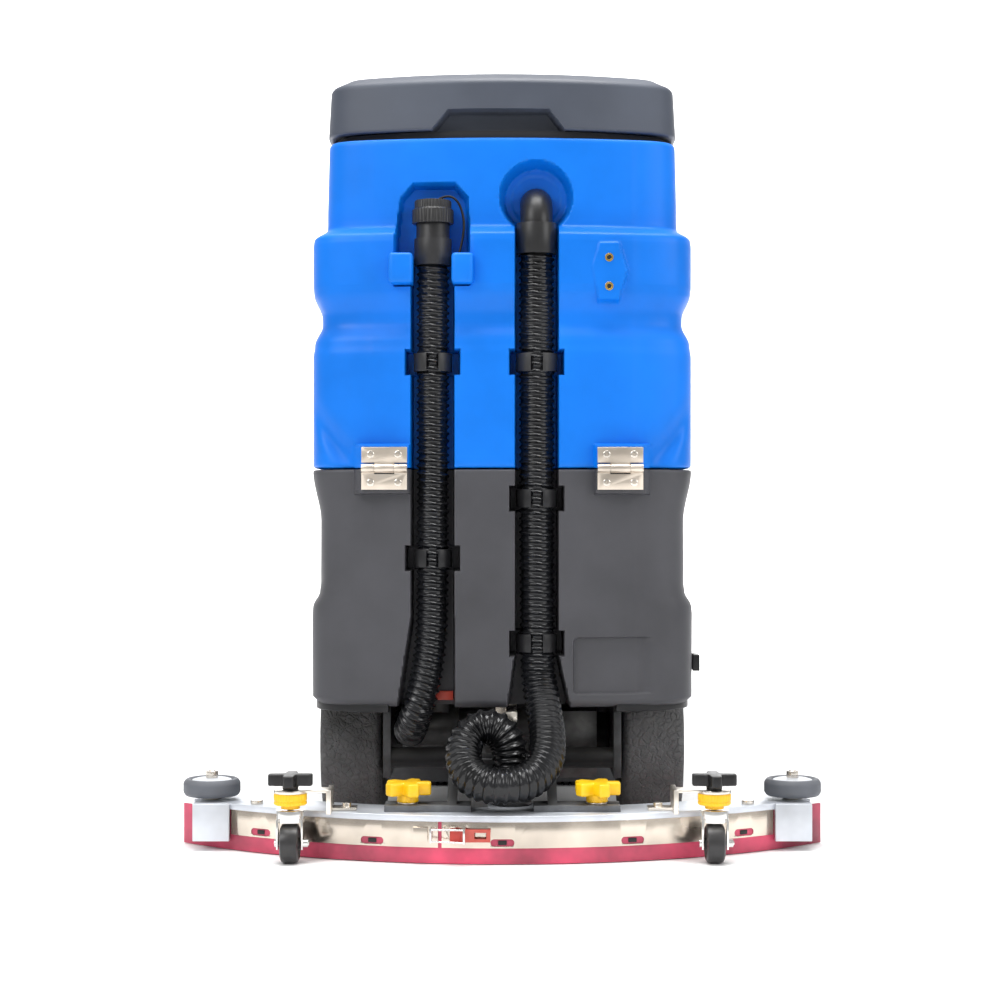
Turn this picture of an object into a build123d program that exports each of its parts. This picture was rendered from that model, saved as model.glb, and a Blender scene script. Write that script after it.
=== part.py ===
"""Compact ride-on floor scrubber, in millimetres.

+X points to the machine's right, +Y forward, +Z up, and Z = 0 is the floor. The origin lies under the
middle of the machine. Rear wheels, drive, squeegee and hoses are at -Y, the steered wheel and cowl at +Y.
"""

import os
from math import cos, pi, radians, sin, tan

from build123d import *

os.makedirs("parts", exist_ok=True)

# ---- Overall sizes -------------------------------------------------------------------------------
body_half = 257  # half the width of the moulded bodies
body_rear = -530  # rearmost line of the moulded bodies
body_bow = 42  # how far the rear corners stand forward of the middle
body_corner = 72  # radius of the rear corners
body_front = 150  # front face of the lower body
skirt_z = 184  # lower edge of the lower body
seam_z = 499.5  # hinge line between lower body and recovery tank
seam_gap = 2.0  # daylight between lower body and tank
tank_top = 939
lid_bottom = 949.6
lid_shoulder = 1016
lid_top = 1034
tank_step = -110  # front face of the tall part of the tank
run = 0.3  # gap between parts that only pass each other
fit = 0.05  # radial running clearance of shafts in their bores
wall = 6  # moulded wall

# ---- Hoses and their channels --------------------------------------------------------------------
drain_x = -92
vacuum_x = 45.5
drain_y = -504
vacuum_y = -504
drain_radius = 22
vacuum_radius = 24
channel_floor = -474
channel_half = 28
pocket_half = 35.5
pocket_height = 32
pocket_floor = -470
tank_pockets = [(drain_x, 640), (vacuum_x, 640)]
body_pockets = [(drain_x, 381), (vacuum_x, 460), (vacuum_x, 269)]

# ---- Running gear --------------------------------------------------------------------------------
wheel_radius = 125
wheel_inner = 166
wheel_outer = 250
axle_y = -300
axle_radius = 12.5
plate_inner = 150
plate_outer = 160
front_radius = 110
front_half = 38
front_y = 500
fork_stem = 20
deck_y = 180
brush_x = 142
brush_radius = 135
deck_plate_z = 68

# ---- Squeegee ------------------------------------------------------------------------------------
bow_centre = -5.5  # centre of the squeegee's plan arcs
blade_radius = 644
blade_thick = 4
blade_gap = 40.3
bow_angle = 41.3
casting_angle = 39.0
casting_inner = 575
casting_top = 62
casting_under = 54
lift_y = -455
lift_z = 110
swing_y = -500
caster_x = 268
caster_y = -630
caster_trail = 5
caster_radius = 25
caster_half = 13.5
roller_x = 385
roller_y = -506
roller_radius = 37.5
knob_x = 121
knob_y = -600


def block(x, y, z, mode=Mode.ADD):
    """A box between two X, two Y and two Z values."""
    middle = tuple((low + high) / 2 for low, high in (x, y, z))
    with Locations(middle):
        Box(x[1] - x[0], y[1] - y[0], z[1] - z[0], mode=mode)


def rod(start, end, radius, mode=Mode.ADD):
    """A round bar from one point to another."""
    a, b = Vector(*start), Vector(*end)
    with Locations(Plane(origin=(a + b) * 0.5, z_dir=b - a)):
        Cylinder(radius, (b - a).length, mode=mode)


def plan_face(z, half, rear, front, bow, corner):
    """A level outline: straight sides and front, a bowed rear and rounded rear corners."""
    with BuildSketch(Plane.XY.offset(z)) as outline:
        with BuildLine():
            ThreePointArc((half, rear + bow), (0, rear), (-half, rear + bow))
            Polyline((-half, rear + bow), (-half, front), (half, front), (half, rear + bow))
        make_face()
        fillet(outline.vertices().group_by(Axis.Y)[0], corner)
    return outline.sketch.faces()[0]


def on_bow(radius, turn):
    """A point in plan on one of the squeegee's arcs, turn degrees from the middle."""
    return (radius * sin(radians(turn)), bow_centre - radius * cos(radians(turn)))


def sector(z, height, inner, outer, start, end, mode=Mode.ADD):
    """A curved bar of the squeegee: a ring sector about the bow's centre, open towards +Y."""
    middle = (start + end) / 2
    with BuildSketch(Plane.XY.offset(z)) as ring:
        with BuildLine():
            ThreePointArc(on_bow(outer, start), on_bow(outer, middle), on_bow(outer, end))
            Line(on_bow(outer, end), on_bow(inner, end))
            ThreePointArc(on_bow(inner, end), on_bow(inner, middle), on_bow(inner, start))
            Line(on_bow(inner, start), on_bow(outer, start))
        make_face()
    extrude(ring.sketch, amount=height, mode=mode)


def star(x, y, z, height, lobes, reach, hub, width, mode=Mode.ADD):
    """A star knob's head: round-ended arms about a hub."""
    with BuildSketch(Plane(origin=(x, y, z))) as head:
        Circle(hub)
        with PolarLocations(0, lobes):
            with Locations((reach / 2, 0)):
                Rectangle(reach, width)
    extrude(head.sketch, amount=height, mode=mode)


# ==== Chassis =====================================================================================
spine_half = 40
spine_z = (144, 184)
riser_y = (325, 365)
head_z = (250, 290)
arm_a = (-24, 150)  # where the deck's arms hang on the frame, in Y and Z
arm_b = (66, 126)  # where they hold the deck

with BuildPart() as frame:
    for side in (-1, 1):
        x = sorted((side * plate_inner, side * plate_outer))
        block(x, (-470, -40), (84, skirt_z))
    block((-plate_outer, plate_outer), (-60, -40), (120, skirt_z))
    block((-spine_half, spine_half), (-60, riser_y[1]), spine_z)
    block((-spine_half, spine_half), riser_y, (spine_z[0], head_z[1]))
    block((-spine_half, spine_half), (riser_y[0], front_y + 40), head_z)
    rod((0, front_y, 240), (0, front_y, 300), 30)
    rod((0, front_y, 239), (0, front_y, 301), fork_stem + fit, mode=Mode.SUBTRACT)
    rod((-plate_inner, lift_y, lift_z), (plate_inner, lift_y, lift_z), 14)
    block((-200, 200), (245, 265), (184, 212))
    for side in (-1, 1):
        for inner in (60, 78):
            block(sorted((side * inner, side * (inner + 4))), (-60, -14), (138, 162))
    rod((-90, *arm_a), (90, *arm_a), 5)
frame.part.label = "frame"
export_step(frame.part, "parts/frame.step")

# Lower body: housing for batteries and clean water, open underneath over the drive.
scoop_half = 246
body_levels = [
    (skirt_z, body_half - 2),
    (196, body_half + 1),
    (310, body_half + 1),
    (336, scoop_half),
    (462, scoop_half),
    (478, body_half),
    (seam_z - seam_gap / 2, body_half),
]
pad_face = -533  # both hinge leaves lie against pads at this depth
hinge_x = 155
hinge_half = 30
filler_x = 170
filler_z = 400
filler_radius = 30

with BuildPart() as lower_body:
    loft(
        [plan_face(z, half, body_rear, body_front, body_bow, body_corner) for z, half in body_levels],
        ruled=True,
    )
    for side in (-1, 1):
        x = sorted((side * (hinge_x - hinge_half - 3), side * (hinge_x + hinge_half + 3)))
        block(x, (pad_face, -500), (466, 491))
    block((-235, 235), (-435, 40), (268, 600), mode=Mode.SUBTRACT)
    block((-148, 148), (-440, 20), (100, 260), mode=Mode.SUBTRACT)
    block((-300, 300), (20, 200), (100, 215), mode=Mode.SUBTRACT)
    block((-242, 242), (52, body_front - wall), (225, 490), mode=Mode.SUBTRACT)
    for side in (-1, 1):
        rod((side * 148, axle_y, wheel_radius), (side * 300, axle_y, wheel_radius), 137, mode=Mode.SUBTRACT)
        x = sorted((side * 148, side * 300))
        block(x, (axle_y - 137, axle_y + 137), (100, wheel_radius), mode=Mode.SUBTRACT)
    rod(
        (filler_x, body_front - 20, filler_z),
        (filler_x, body_front + 20, filler_z),
        filler_radius,
        mode=Mode.SUBTRACT,
    )
    for centre, low in ((drain_x, skirt_z - 5), (vacuum_x, skirt_z - 5)):
        x = (centre - channel_half, centre + channel_half)
        block(x, (body_rear - 30, channel_floor), (low, seam_z + 5), mode=Mode.SUBTRACT)
    for centre, middle in body_pockets:
        z = (middle - pocket_height / 2, middle + pocket_height / 2)
        x = (centre - pocket_half, centre + pocket_half)
        block(x, (body_rear - 30, pocket_floor), z, mode=Mode.SUBTRACT)
    for flare in (
        ((17, 250), (74, 250), (106, skirt_z - 1), (-4, skirt_z - 1)),
        ((-120, 300), (-64, 300), (-64, skirt_z - 1), (-150, skirt_z - 1)),
    ):
        with BuildSketch(Plane.XZ.offset(-channel_floor)):
            with BuildLine():
                Polyline(*flare, close=True)
            make_face()
        extrude(amount=120, mode=Mode.SUBTRACT)
    block((-146, -60), (channel_floor - 2, -430), (skirt_z - 4, 214), mode=Mode.SUBTRACT)
    block((94, 196), (body_rear - 30, body_rear + 12), (202, 276), mode=Mode.SUBTRACT)
    block((94, 196), (body_rear + 11, -500), (202, 276))
lower_body.part.label = "lower_body"
export_step(lower_body.part, "parts/lower_body.step")

# Drive unit between the frame plates: gearbox with the axle, and the motor beside it.
motor_y = -365
motor_z = 148
with BuildPart() as transaxle:
    block((80, 131), (-392, -252), (74, 166))
    rod((-plate_inner, axle_y, wheel_radius), (plate_inner, axle_y, wheel_radius), 16)
    rod((131, axle_y, wheel_radius), (plate_inner, axle_y, wheel_radius), 30)
    for side in (-1, 1):
        rod((side * plate_outer, axle_y, wheel_radius), (side * 238.3, axle_y, wheel_radius), axle_radius)
        rod((side * 238.3, axle_y, wheel_radius), (side * 246, axle_y, wheel_radius), 18)
    for y in (-375, -268):
        for z in (90, 128):
            rod((70, y, z), (80, y, z), 7)
    rod((-60, motor_y, motor_z), (80, motor_y, motor_z), 19)
    rod((-136, motor_y, motor_z), (-60, motor_y, motor_z), 34)
transaxle.part.label = "transaxle"
export_step(transaxle.part, "parts/transaxle.step")

with BuildPart() as batteries:
    for x in (-98, 98):
        for y in (-315, -80):
            block((x - 94, x + 94), (y - 112, y + 112), (268, 462))
            for post in (-60, 60):
                rod((x + post, y, 462), (x + post, y, 478), 9)
batteries.part.label = "batteries"
export_step(batteries.part, "parts/batteries.step")

# Front cowl: wheel cover below, hollow column with the console on top.
cowl_rear = 430
cowl_front = 655
console_z = 790
steer_tilt = radians(25)
steer_hub = (0, 440, 874)
steer_down = (0, sin(steer_tilt), -cos(steer_tilt))


def along_column(distance):
    """A point on the steering axis, this far down from the hub."""
    return tuple(hub + distance * way for hub, way in zip(steer_hub, steer_down))


with BuildPart() as front_cowl:
    block((-190, 190), (372, cowl_front), (92, 312))
    fillet(front_cowl.edges().filter_by(Axis.Z).group_by(Axis.Y)[-1], 80)
    block((-150, 150), (cowl_rear, cowl_front - 25), (300, console_z))
    fillet(front_cowl.edges().filter_by(Axis.X).group_by(Axis.Z)[-1].sort_by(Axis.Y)[-1], 60)
    block((-180, 180), (380, cowl_front - 85), (80, 304), mode=Mode.SUBTRACT)
    block((-125, 125), (380, cowl_front - 10), (80, 304), mode=Mode.SUBTRACT)
    block((-142, 142), (cowl_rear + 8, cowl_front - 95), (290, console_z - 30), mode=Mode.SUBTRACT)
    block((-60, 60), (360, 400), (240, 304), mode=Mode.SUBTRACT)
    rod(along_column(40), along_column(220), 10 + fit, mode=Mode.SUBTRACT)
    for x, radius in ((-80, 11), (80, 15), (40, 9)):
        rod((x, 560, console_z - 35), (x, 560, console_z + 5), radius + 0.2, mode=Mode.SUBTRACT)
front_cowl.part.label = "front_cowl"
export_step(front_cowl.part, "parts/front_cowl.step")

pedal_x = (90, 170)
pedal_y = 200
pedal_z = 231
pedal_pin = 3
with BuildPart() as footplate:
    block((-240, 240), (body_front, 372), (212, 220))
    for x in ((pedal_x[0] - 8, pedal_x[0] - run), (pedal_x[1] + run, pedal_x[1] + 8)):
        block(x, (pedal_y - 7, pedal_y + 7), (220, pedal_z + 7))
    rod((pedal_x[0] - 8, pedal_y, pedal_z), (pedal_x[1] + 8, pedal_y, pedal_z), pedal_pin)
    for side in (-1, 1):
        block(sorted((side * 234, side * 240)), (body_front, 372), (220, 245))
    block((-spine_half - 1, spine_half + 1), (riser_y[0] - 1, 373), (210, 224), mode=Mode.SUBTRACT)
    for row in range(9):
        y = 170 + row * 16
        block((-200, 60), (y, y + 6), (220, 223))
footplate.part.label = "footplate"
export_step(footplate.part, "parts/footplate.step")

with BuildPart() as lift_actuator:
    block((-30, 30), (-150, -42), (skirt_z, 226))
    rod((0, -150, 206), (0, -330, 206), 12)
    rod((0, -330, 206), (0, -426, 206), 7)
    block((-9, 20), (-436, -424), (164, 214))
    block((5, 20), (-516, -424), (164, 178))
lift_actuator.part.label = "lift_actuator"
export_step(lift_actuator.part, "parts/lift_actuator.step")

chain_x = 13
chain_y = -510
chain_z = (124.3, 163.7)
chain_links = 6
with BuildPart() as lift_chain:
    for link in range(chain_links):
        pitch = (chain_z[1] - chain_z[0]) / chain_links
        top = chain_z[1] - link * pitch
        wide, deep = (4.5, 1.8) if link % 2 else (1.8, 4.5)
        block((chain_x - wide, chain_x + wide), (chain_y - deep, chain_y + deep), (top - pitch, top))
lift_chain.part.label = "lift_chain"
export_step(lift_chain.part, "parts/lift_chain.step")

# Hose clips: open C rings on a foot, plus the drain valve's body and the tie-down eye.


def hose_clip(x, y, z, radius):
    """An open C clip, 24 mm tall, about a vertical hose, with its foot towards +Y."""
    with BuildSketch(Plane.XY.offset(z - 12)) as ring:
        with Locations((x, y)):
            Circle(radius + 3.6)
        with Locations((x, pocket_floor - 6)):
            Rectangle(44, 12)
        with Locations((x, y)):
            Circle(radius + run + 0.3, mode=Mode.SUBTRACT)
        with Locations((x, y - radius - 4)):
            Rectangle(16, 14, mode=Mode.SUBTRACT)
    return extrude(ring.sketch, amount=24, mode=Mode.PRIVATE)


valve_x = -84
valve_z = 196
with BuildPart() as chassis_hose_fittings:
    for centre, middle in body_pockets:
        y = drain_y if centre == drain_x else vacuum_y
        radius = drain_radius if centre == drain_x else vacuum_radius
        add(hose_clip(centre, y, middle, radius))
    block((valve_x - 12, valve_x + 12), (-466, -442), (172, 214))
    block((258.3, 268), (-420, -414), (226, 248))
    block((262, 268), (-440, -420), (226, 232))
    block((262, 268), (-440, -420), (242, 248))
    block((258.3, 268), (-446, -440), (226, 248))
chassis_hose_fittings.part.label = "chassis_hose_fittings"
export_step(chassis_hose_fittings.part, "parts/chassis_hose_fittings.step")

with BuildPart() as valve_handle:
    rod((valve_x, -466.3, valve_z), (valve_x, -473, valve_z), 8)
    block((valve_x - 6, valve_x + 18), (-479, -473), (valve_z - 6, valve_z + 6))
valve_handle.part.label = "valve_handle"
export_step(valve_handle.part, "parts/valve_handle.step")

# Butt hinges between lower body and tank.
hinge_y = pad_face - 4
knuckle = 6
leaf = 3
pin_radius = 3


def hinge_leaf(x, up):
    """One leaf with its knuckles and two countersunk screws; up is 1 above the pin and -1 below it."""
    spans = [(-13, 13)] if up > 0 else [(-30, -13.3), (13.3, 30)]
    near, far = seam_z + up * (knuckle + 1.5), seam_z + up * 28
    block((x - hinge_half, x + hinge_half), (pad_face - leaf, pad_face), sorted((near, far)))
    for low, high in spans:
        rod((x + low, hinge_y, seam_z), (x + high, hinge_y, seam_z), knuckle)
        z = sorted((seam_z, seam_z + up * (knuckle + 3)))
        block((x + low, x + high), (pad_face - leaf, pad_face - 0.4), z)
    rod((x - 31, hinge_y, seam_z), (x + 31, hinge_y, seam_z), pin_radius + fit, mode=Mode.SUBTRACT)


with BuildPart() as hinge_lower_leaves:
    for x in (-hinge_x, hinge_x):
        hinge_leaf(x, -1)
    for x in (-hinge_x, hinge_x):
        rod((x - 30, hinge_y, seam_z), (x + 30, hinge_y, seam_z), pin_radius)
        for across in (-18, 18):
            rod((x + across, pad_face - leaf, 481), (x + across, pad_face - leaf - 1.2, 481), 4.6)
hinge_lower_leaves.part.label = "hinge_lower_leaves"
export_step(hinge_lower_leaves.part, "parts/hinge_lower_leaves.step")

with BuildPart() as hinge_upper_leaves:
    for x in (-hinge_x, hinge_x):
        hinge_leaf(x, 1)
    for x in (-hinge_x, hinge_x):
        for across in (-18, 18):
            rod((x + across, pad_face - leaf, 518), (x + across, pad_face - leaf - 1.2, 518), 4.6)
hinge_upper_leaves.part.label = "hinge_upper_leaves"
export_step(hinge_upper_leaves.part, "parts/hinge_upper_leaves.step")

with BuildPart() as filler_cap:
    rod((filler_x, body_front - 12, filler_z), (filler_x, body_front + 0.3, filler_z), filler_radius - run)
    rod((filler_x, body_front + 0.3, filler_z), (filler_x, body_front + 14, filler_z), filler_radius + 8)
    block((filler_x - 24, filler_x + 24), (body_front + 13, body_front + 24), (filler_z - 4, filler_z + 4))
filler_cap.part.label = "filler_cap"
export_step(filler_cap.part, "parts/filler_cap.step")

# ==== Steering and front wheel ====================================================================
with BuildPart() as steering_wheel:
    hub_plane = Plane(origin=steer_hub, z_dir=Vector(*steer_down) * -1)
    with BuildSketch(Plane(origin=hub_plane.origin + hub_plane.x_dir * 160, z_dir=hub_plane.y_dir)):
        Circle(13)
    revolve(axis=Axis(steer_hub, hub_plane.z_dir), revolution_arc=360)
    rod(along_column(-12), along_column(14), 34)
    rod(along_column(14), along_column(200), 10)
    for turn in (90, 210, 330):
        way = hub_plane.x_dir * cos(radians(turn)) + hub_plane.y_dir * sin(radians(turn))
        rod(tuple(hub_plane.origin + way * 20), tuple(hub_plane.origin + way * 155), 7)
steering_wheel.part.label = "steering_wheel"
export_step(steering_wheel.part, "parts/steering_wheel.step")

with BuildPart() as front_fork:
    rod((0, front_y, 226), (0, front_y, 308), fork_stem)
    block((-53, 53), (front_y - 30, front_y + 30), (226, 236))
    for side in (-1, 1):
        x = sorted((side * 43, side * 53))
        block(x, (front_y - 25, front_y + 25), (94, 228))
    rod((-53, front_y, front_radius), (53, front_y, front_radius), 10)
front_fork.part.label = "front_fork"
export_step(front_fork.part, "parts/front_fork.step")


def road_wheel(low, high, y, radius, rim_radius, hub, bore):
    """A tyre with rounded shoulders and, inside it, a dished rim with its axle bore, as two solids."""
    with BuildPart() as tyre:
        rod((low, y, radius), (high, y, radius), radius)
        fillet(tyre.edges().filter_by(GeomType.CIRCLE), 11)
        rod((low - 1, y, radius), (high + 1, y, radius), rim_radius, mode=Mode.SUBTRACT)
    with BuildPart() as rim:
        rod((low + 12, y, radius), (high - 12, y, radius), rim_radius)
        for start, end in ((low + 12, low + 24), (high - 12, high - 24)):
            rod((start, y, radius), (end, y, radius), rim_radius - 14, mode=Mode.SUBTRACT)
        rod((hub[0], y, radius), (hub[1], y, radius), 24)
        rod((low - 20, y, radius), (high + 20, y, radius), bore, mode=Mode.SUBTRACT)
    return Compound(children=[tyre.part.solid(), rim.part.solid()])


front_wheel = road_wheel(-front_half, front_half, front_y, front_radius, 74, (-41, 41), 10 + fit)
front_wheel.label = "front_wheel"
export_step(front_wheel, "parts/front_wheel.step")
for name, side in (("left_wheel", -1), ("right_wheel", 1)):
    low, high = sorted((side * wheel_inner, side * wheel_outer))
    hub = sorted((side * (plate_outer + run), side * 238))
    rear_wheel = road_wheel(low, high, axle_y, wheel_radius, 88, hub, axle_radius + fit)
    rear_wheel.label = name
    export_step(rear_wheel, f"parts/{name}.step")

# ==== Controls ====================================================================================
with BuildPart() as key_switch:
    rod((-80, 560, console_z - 20), (-80, 560, console_z + 5), 11)
    block((-82, -78), (550, 570), (console_z + 4, console_z + 24))
key_switch.part.label = "key_switch"
export_step(key_switch.part, "parts/key_switch.step")

with BuildPart() as emergency_stop:
    rod((80, 560, console_z - 20), (80, 560, console_z + 12), 15)
    rod((80, 560, console_z + 12), (80, 560, console_z + 26), 21)
    fillet(emergency_stop.edges().filter_by(GeomType.CIRCLE).group_by(Axis.Z)[-1], 6)
emergency_stop.part.label = "emergency_stop"
export_step(emergency_stop.part, "parts/emergency_stop.step")

with BuildPart() as horn_button:
    rod((40, 560, console_z - 20), (40, 560, console_z + 6), 9)
    fillet(horn_button.edges().filter_by(GeomType.CIRCLE).group_by(Axis.Z)[-1], 2)
horn_button.part.label = "horn_button"
export_step(horn_button.part, "parts/horn_button.step")

with BuildPart() as drive_pedal:
    rod((pedal_x[0], pedal_y, pedal_z), (pedal_x[1], pedal_y, pedal_z), 7)
    with BuildSketch(Plane.YZ.offset(pedal_x[0] + 5)):
        with BuildLine():
            Polyline(
                (pedal_y, pedal_z - 4),
                (pedal_y + 130, pedal_z + 30),
                (pedal_y + 128, pedal_z + 40),
                (pedal_y, pedal_z + 6),
                close=True,
            )
        make_face()
    extrude(amount=pedal_x[1] - pedal_x[0] - 10)
    ends = ((x, pedal_y, pedal_z) for x in (pedal_x[0] - 1, pedal_x[1] + 1))
    rod(*ends, pedal_pin + fit, mode=Mode.SUBTRACT)
drive_pedal.part.label = "drive_pedal"
export_step(drive_pedal.part, "parts/drive_pedal.step")

# ==== Brush deck ==================================================================================
brush_drive = 12

with BuildPart() as brush_deck:
    with BuildSketch(Plane.XY.offset(deck_plate_z)):
        with Locations((0, deck_y)):
            SlotCenterToCenter(2 * brush_x, 2 * (brush_radius + 9))
    extrude(amount=8)
    with BuildSketch(Plane.XY.offset(8)):
        with Locations((0, deck_y)):
            SlotCenterToCenter(2 * brush_x, 2 * (brush_radius + 11))
            SlotCenterToCenter(2 * brush_x, 2 * (brush_radius + 4), mode=Mode.SUBTRACT)
    extrude(amount=deck_plate_z - 8)
    for side in (-1, 1):
        rod((side * brush_x, deck_y, 60), (side * brush_x, deck_y, 80), brush_drive + 3, mode=Mode.SUBTRACT)
        block(sorted((side * 74, side * 80)), (54, 78), (deck_plate_z, 140))
    with BuildSketch(Plane.YZ.offset(-100)):
        with Locations(arm_b):
            SlotOverall(17, 10.4)
    extrude(amount=200, mode=Mode.SUBTRACT)
brush_deck.part.label = "brush_deck"
export_step(brush_deck.part, "parts/brush_deck.step")

with BuildPart() as brush_motors:
    for side in (-1, 1):
        x = side * brush_x
        rod((x, deck_y, 76), (x, deck_y, 88), 55)
        rod((x, deck_y, 88), (x, deck_y, 146), 46)
        rod((x, deck_y, 50), (x, deck_y, 76), brush_drive)
brush_motors.part.label = "brush_motors"
export_step(brush_motors.part, "parts/brush_motors.step")

for name, side in (("left_brush", -1), ("right_brush", 1)):
    with BuildPart() as brush:
        rod((side * brush_x, deck_y, 46), (side * brush_x, deck_y, 60), brush_radius)
        rod((side * brush_x, deck_y, 0.5), (side * brush_x, deck_y, 46), brush_radius - 4)
        rod((side * brush_x, deck_y, 0), (side * brush_x, deck_y, 47), 62, mode=Mode.SUBTRACT)
        rod((side * brush_x, deck_y, 40), (side * brush_x, deck_y, 70), brush_drive + fit, mode=Mode.SUBTRACT)
    brush.part.label = name
    export_step(brush.part, f"parts/{name}.step")

with BuildPart() as deck_arms:
    for side in (-1, 1):
        x = sorted((side * 66, side * 72))
        with BuildSketch(Plane.YZ.offset(x[0])):
            with BuildLine():
                middle_line = Line(arm_a, arm_b)
            SlotArc(middle_line, 22)
        extrude(amount=6)
        rod((x[0] - 9, *arm_b), (x[1] + 9, *arm_b), 5)
    rod((-90, *arm_a), (90, *arm_a), 5 + fit, mode=Mode.SUBTRACT)
deck_arms.part.label = "deck_arms"
export_step(deck_arms.part, "parts/deck_arms.step")

# ==== Squeegee ====================================================================================
with BuildPart() as squeegee_arm:
    rod((-34, lift_y, lift_z), (34, lift_y, lift_z), 22)
    for z in ((98, 105), (117, 124)):
        block((-22, 22), (-520, lift_y - 10), z)
    rod((0, swing_y, 98), (0, swing_y, 128), 6)
    rod((-40, lift_y, lift_z), (40, lift_y, lift_z), 14 + run, mode=Mode.SUBTRACT)
squeegee_arm.part.label = "squeegee_arm"
export_step(squeegee_arm.part, "parts/squeegee_arm.step")

yoke_z = (casting_top + run, 70)
with BuildPart() as squeegee_yoke:
    block((-20, 20), (-515, -482), (105 + run, 117 - run))
    block((-70, 70), (-530, -514.9), (105 + run, 117 - run))
    for side in (-1, 1):
        x = sorted((side * 58, side * 70))
        with BuildSketch(Plane.YZ.offset(x[0])):
            with BuildLine():
                Polyline(
                    (-515, 117 - run), (-530, 117 - run), (-612, 70), (-612, yoke_z[0]),
                    (-590, yoke_z[0]), (-515, 105 + run), close=True,
                )
            make_face()
        extrude(amount=12)
        block(sorted((side * 40, side * 150)), (-622, -580), yoke_z)
        block(
            sorted((side * knob_x, side * 151)), (knob_y - 6.5, knob_y + 6.5), (60, 72), mode=Mode.SUBTRACT
        )
        rod((side * knob_x, knob_y, 60), (side * knob_x, knob_y, 72), 6.5, mode=Mode.SUBTRACT)
    rod((0, swing_y, 100), (0, swing_y, 120), 6 + fit, mode=Mode.SUBTRACT)
squeegee_yoke.part.label = "squeegee_yoke"
export_step(squeegee_yoke.part, "parts/squeegee_yoke.step")

inlet_x = 12
inlet_y = -556
inner_wall = blade_radius - blade_gap + run
with BuildPart() as squeegee_casting:
    span = (-casting_angle, casting_angle)
    sector(casting_under, casting_top - casting_under, casting_inner, blade_radius + 5, *span)
    sector(20, casting_under - 20, blade_radius - blade_thick - 6, blade_radius - blade_thick, *span)
    sector(20, casting_under - 20, inner_wall, inner_wall + 6, *span)
    with BuildSketch(Plane.XY.offset(casting_under)):
        SlotCenterPoint((inlet_x, inlet_y - 20), (inlet_x, inlet_y), 62)
    extrude(amount=casting_top - casting_under)
    with BuildSketch(Plane.XY.offset(13)) as ends:
        for side in (-1, 1):
            with Locations((side * 380, -528)):
                Rectangle(48, 50)
        with Locations((0, bow_centre)):
            Circle(blade_radius + 1, mode=Mode.SUBTRACT)
    extrude(ends.sketch, amount=casting_top - 13)
    rod((inlet_x, inlet_y, 40), (inlet_x, inlet_y, 70), 17, mode=Mode.SUBTRACT)
squeegee_casting.part.label = "squeegee_casting"
export_step(squeegee_casting.part, "parts/squeegee_casting.step")

with BuildPart() as squeegee_blades:
    span = (-bow_angle, bow_angle)
    sector(1, casting_under - 1.3, blade_radius - blade_thick + 0.1, blade_radius, *span)
    sector(1, casting_under - 1.3, inner_wall - blade_thick - 0.1, inner_wall - 0.1, *span)
squeegee_blades.part.label = "squeegee_blades"
export_step(squeegee_blades.part, "parts/squeegee_blades.step")

band_z = (21, 53.7)
band_radius = blade_radius + 0.2
band_thick = 1.3
band_angle = 33.3
band_split = -7
latch_x = -62
latch_z = 38
with BuildPart() as blade_band:
    for start, end in ((-band_angle, band_split - 0.2), (band_split + 0.2, band_angle)):
        sector(band_z[0], band_z[1] - band_z[0], band_radius, band_radius + band_thick, start, end)
    for turn in (-29, -14.8, 0, 14.8, 29):
        at = Plane(origin=(*on_bow(band_radius, turn), 28), x_dir=(cos(radians(turn)), sin(radians(turn)), 0))
        with BuildSketch(Plane(origin=at.origin - at.y_dir * 8, x_dir=at.x_dir, z_dir=-at.y_dir)) as window:
            SlotOverall(30, 9)
        extrude(window.sketch, amount=-16, mode=Mode.SUBTRACT)
    block((-112, -94), (-650, -638), (29, 47))
    sector(20, 30, band_radius - 12, band_radius, -12, -7.5, mode=Mode.SUBTRACT)
    block((latch_x - 12, latch_x + 16), (-651, -646.5), (27, 49))
    sector(20, 30, band_radius - 9, band_radius, -8, -2, mode=Mode.SUBTRACT)
    rod((latch_x, -655.5, 26), (latch_x, -655.5, 50), 2.2)
    for z in (26, 47):
        block((latch_x - 3, latch_x + 3), (-658, -651), (z, z + 3))
blade_band.part.label = "blade_band"
export_step(blade_band.part, "parts/blade_band.step")

with BuildPart() as latch_lever:
    rod((latch_x, -655.5, 29.4), (latch_x, -655.5, 46.6), 4)
    block((latch_x, latch_x + 47), (-659.5, -656.5), (30, 46))
    block((latch_x + 27, latch_x + 42), (-661, -655), (34, 42), mode=Mode.SUBTRACT)
    rod((latch_x, -655.5, 25), (latch_x, -655.5, 51), 2.2 + fit, mode=Mode.SUBTRACT)
    rod((latch_x + 12, -661, 30), (latch_x + 12, -661, 46), 1.8)
latch_lever.part.label = "latch_lever"
export_step(latch_lever.part, "parts/latch_lever.step")

with BuildPart() as latch_hook:
    for z in (30, 46):
        rod((latch_x + 14, -664.6, z), (latch_x - 28, -658, 38 + (z - 38) * 0.9), 1.3)
    rod((latch_x + 14, -664.6, 28.4), (latch_x + 14, -664.6, 47.6), 1.6)
    rod((latch_x - 28, -658, 29), (latch_x - 28, -658, 47), 1.6)
latch_hook.part.label = "latch_hook"
export_step(latch_hook.part, "parts/latch_hook.step")

with BuildPart() as suction_inlet:
    rod((inlet_x, inlet_y, casting_under), (inlet_x, inlet_y, 84), 17 - 0.2)
    rod((inlet_x, inlet_y, casting_top), (inlet_x, inlet_y, 68), 26)
    rod((inlet_x, inlet_y, 68), (inlet_x, inlet_y, 84), 20)
    rod((inlet_x, inlet_y, casting_under - 1), (inlet_x, inlet_y, 86), 13, mode=Mode.SUBTRACT)
suction_inlet.part.label = "suction_inlet"
export_step(suction_inlet.part, "parts/suction_inlet.step")

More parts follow.
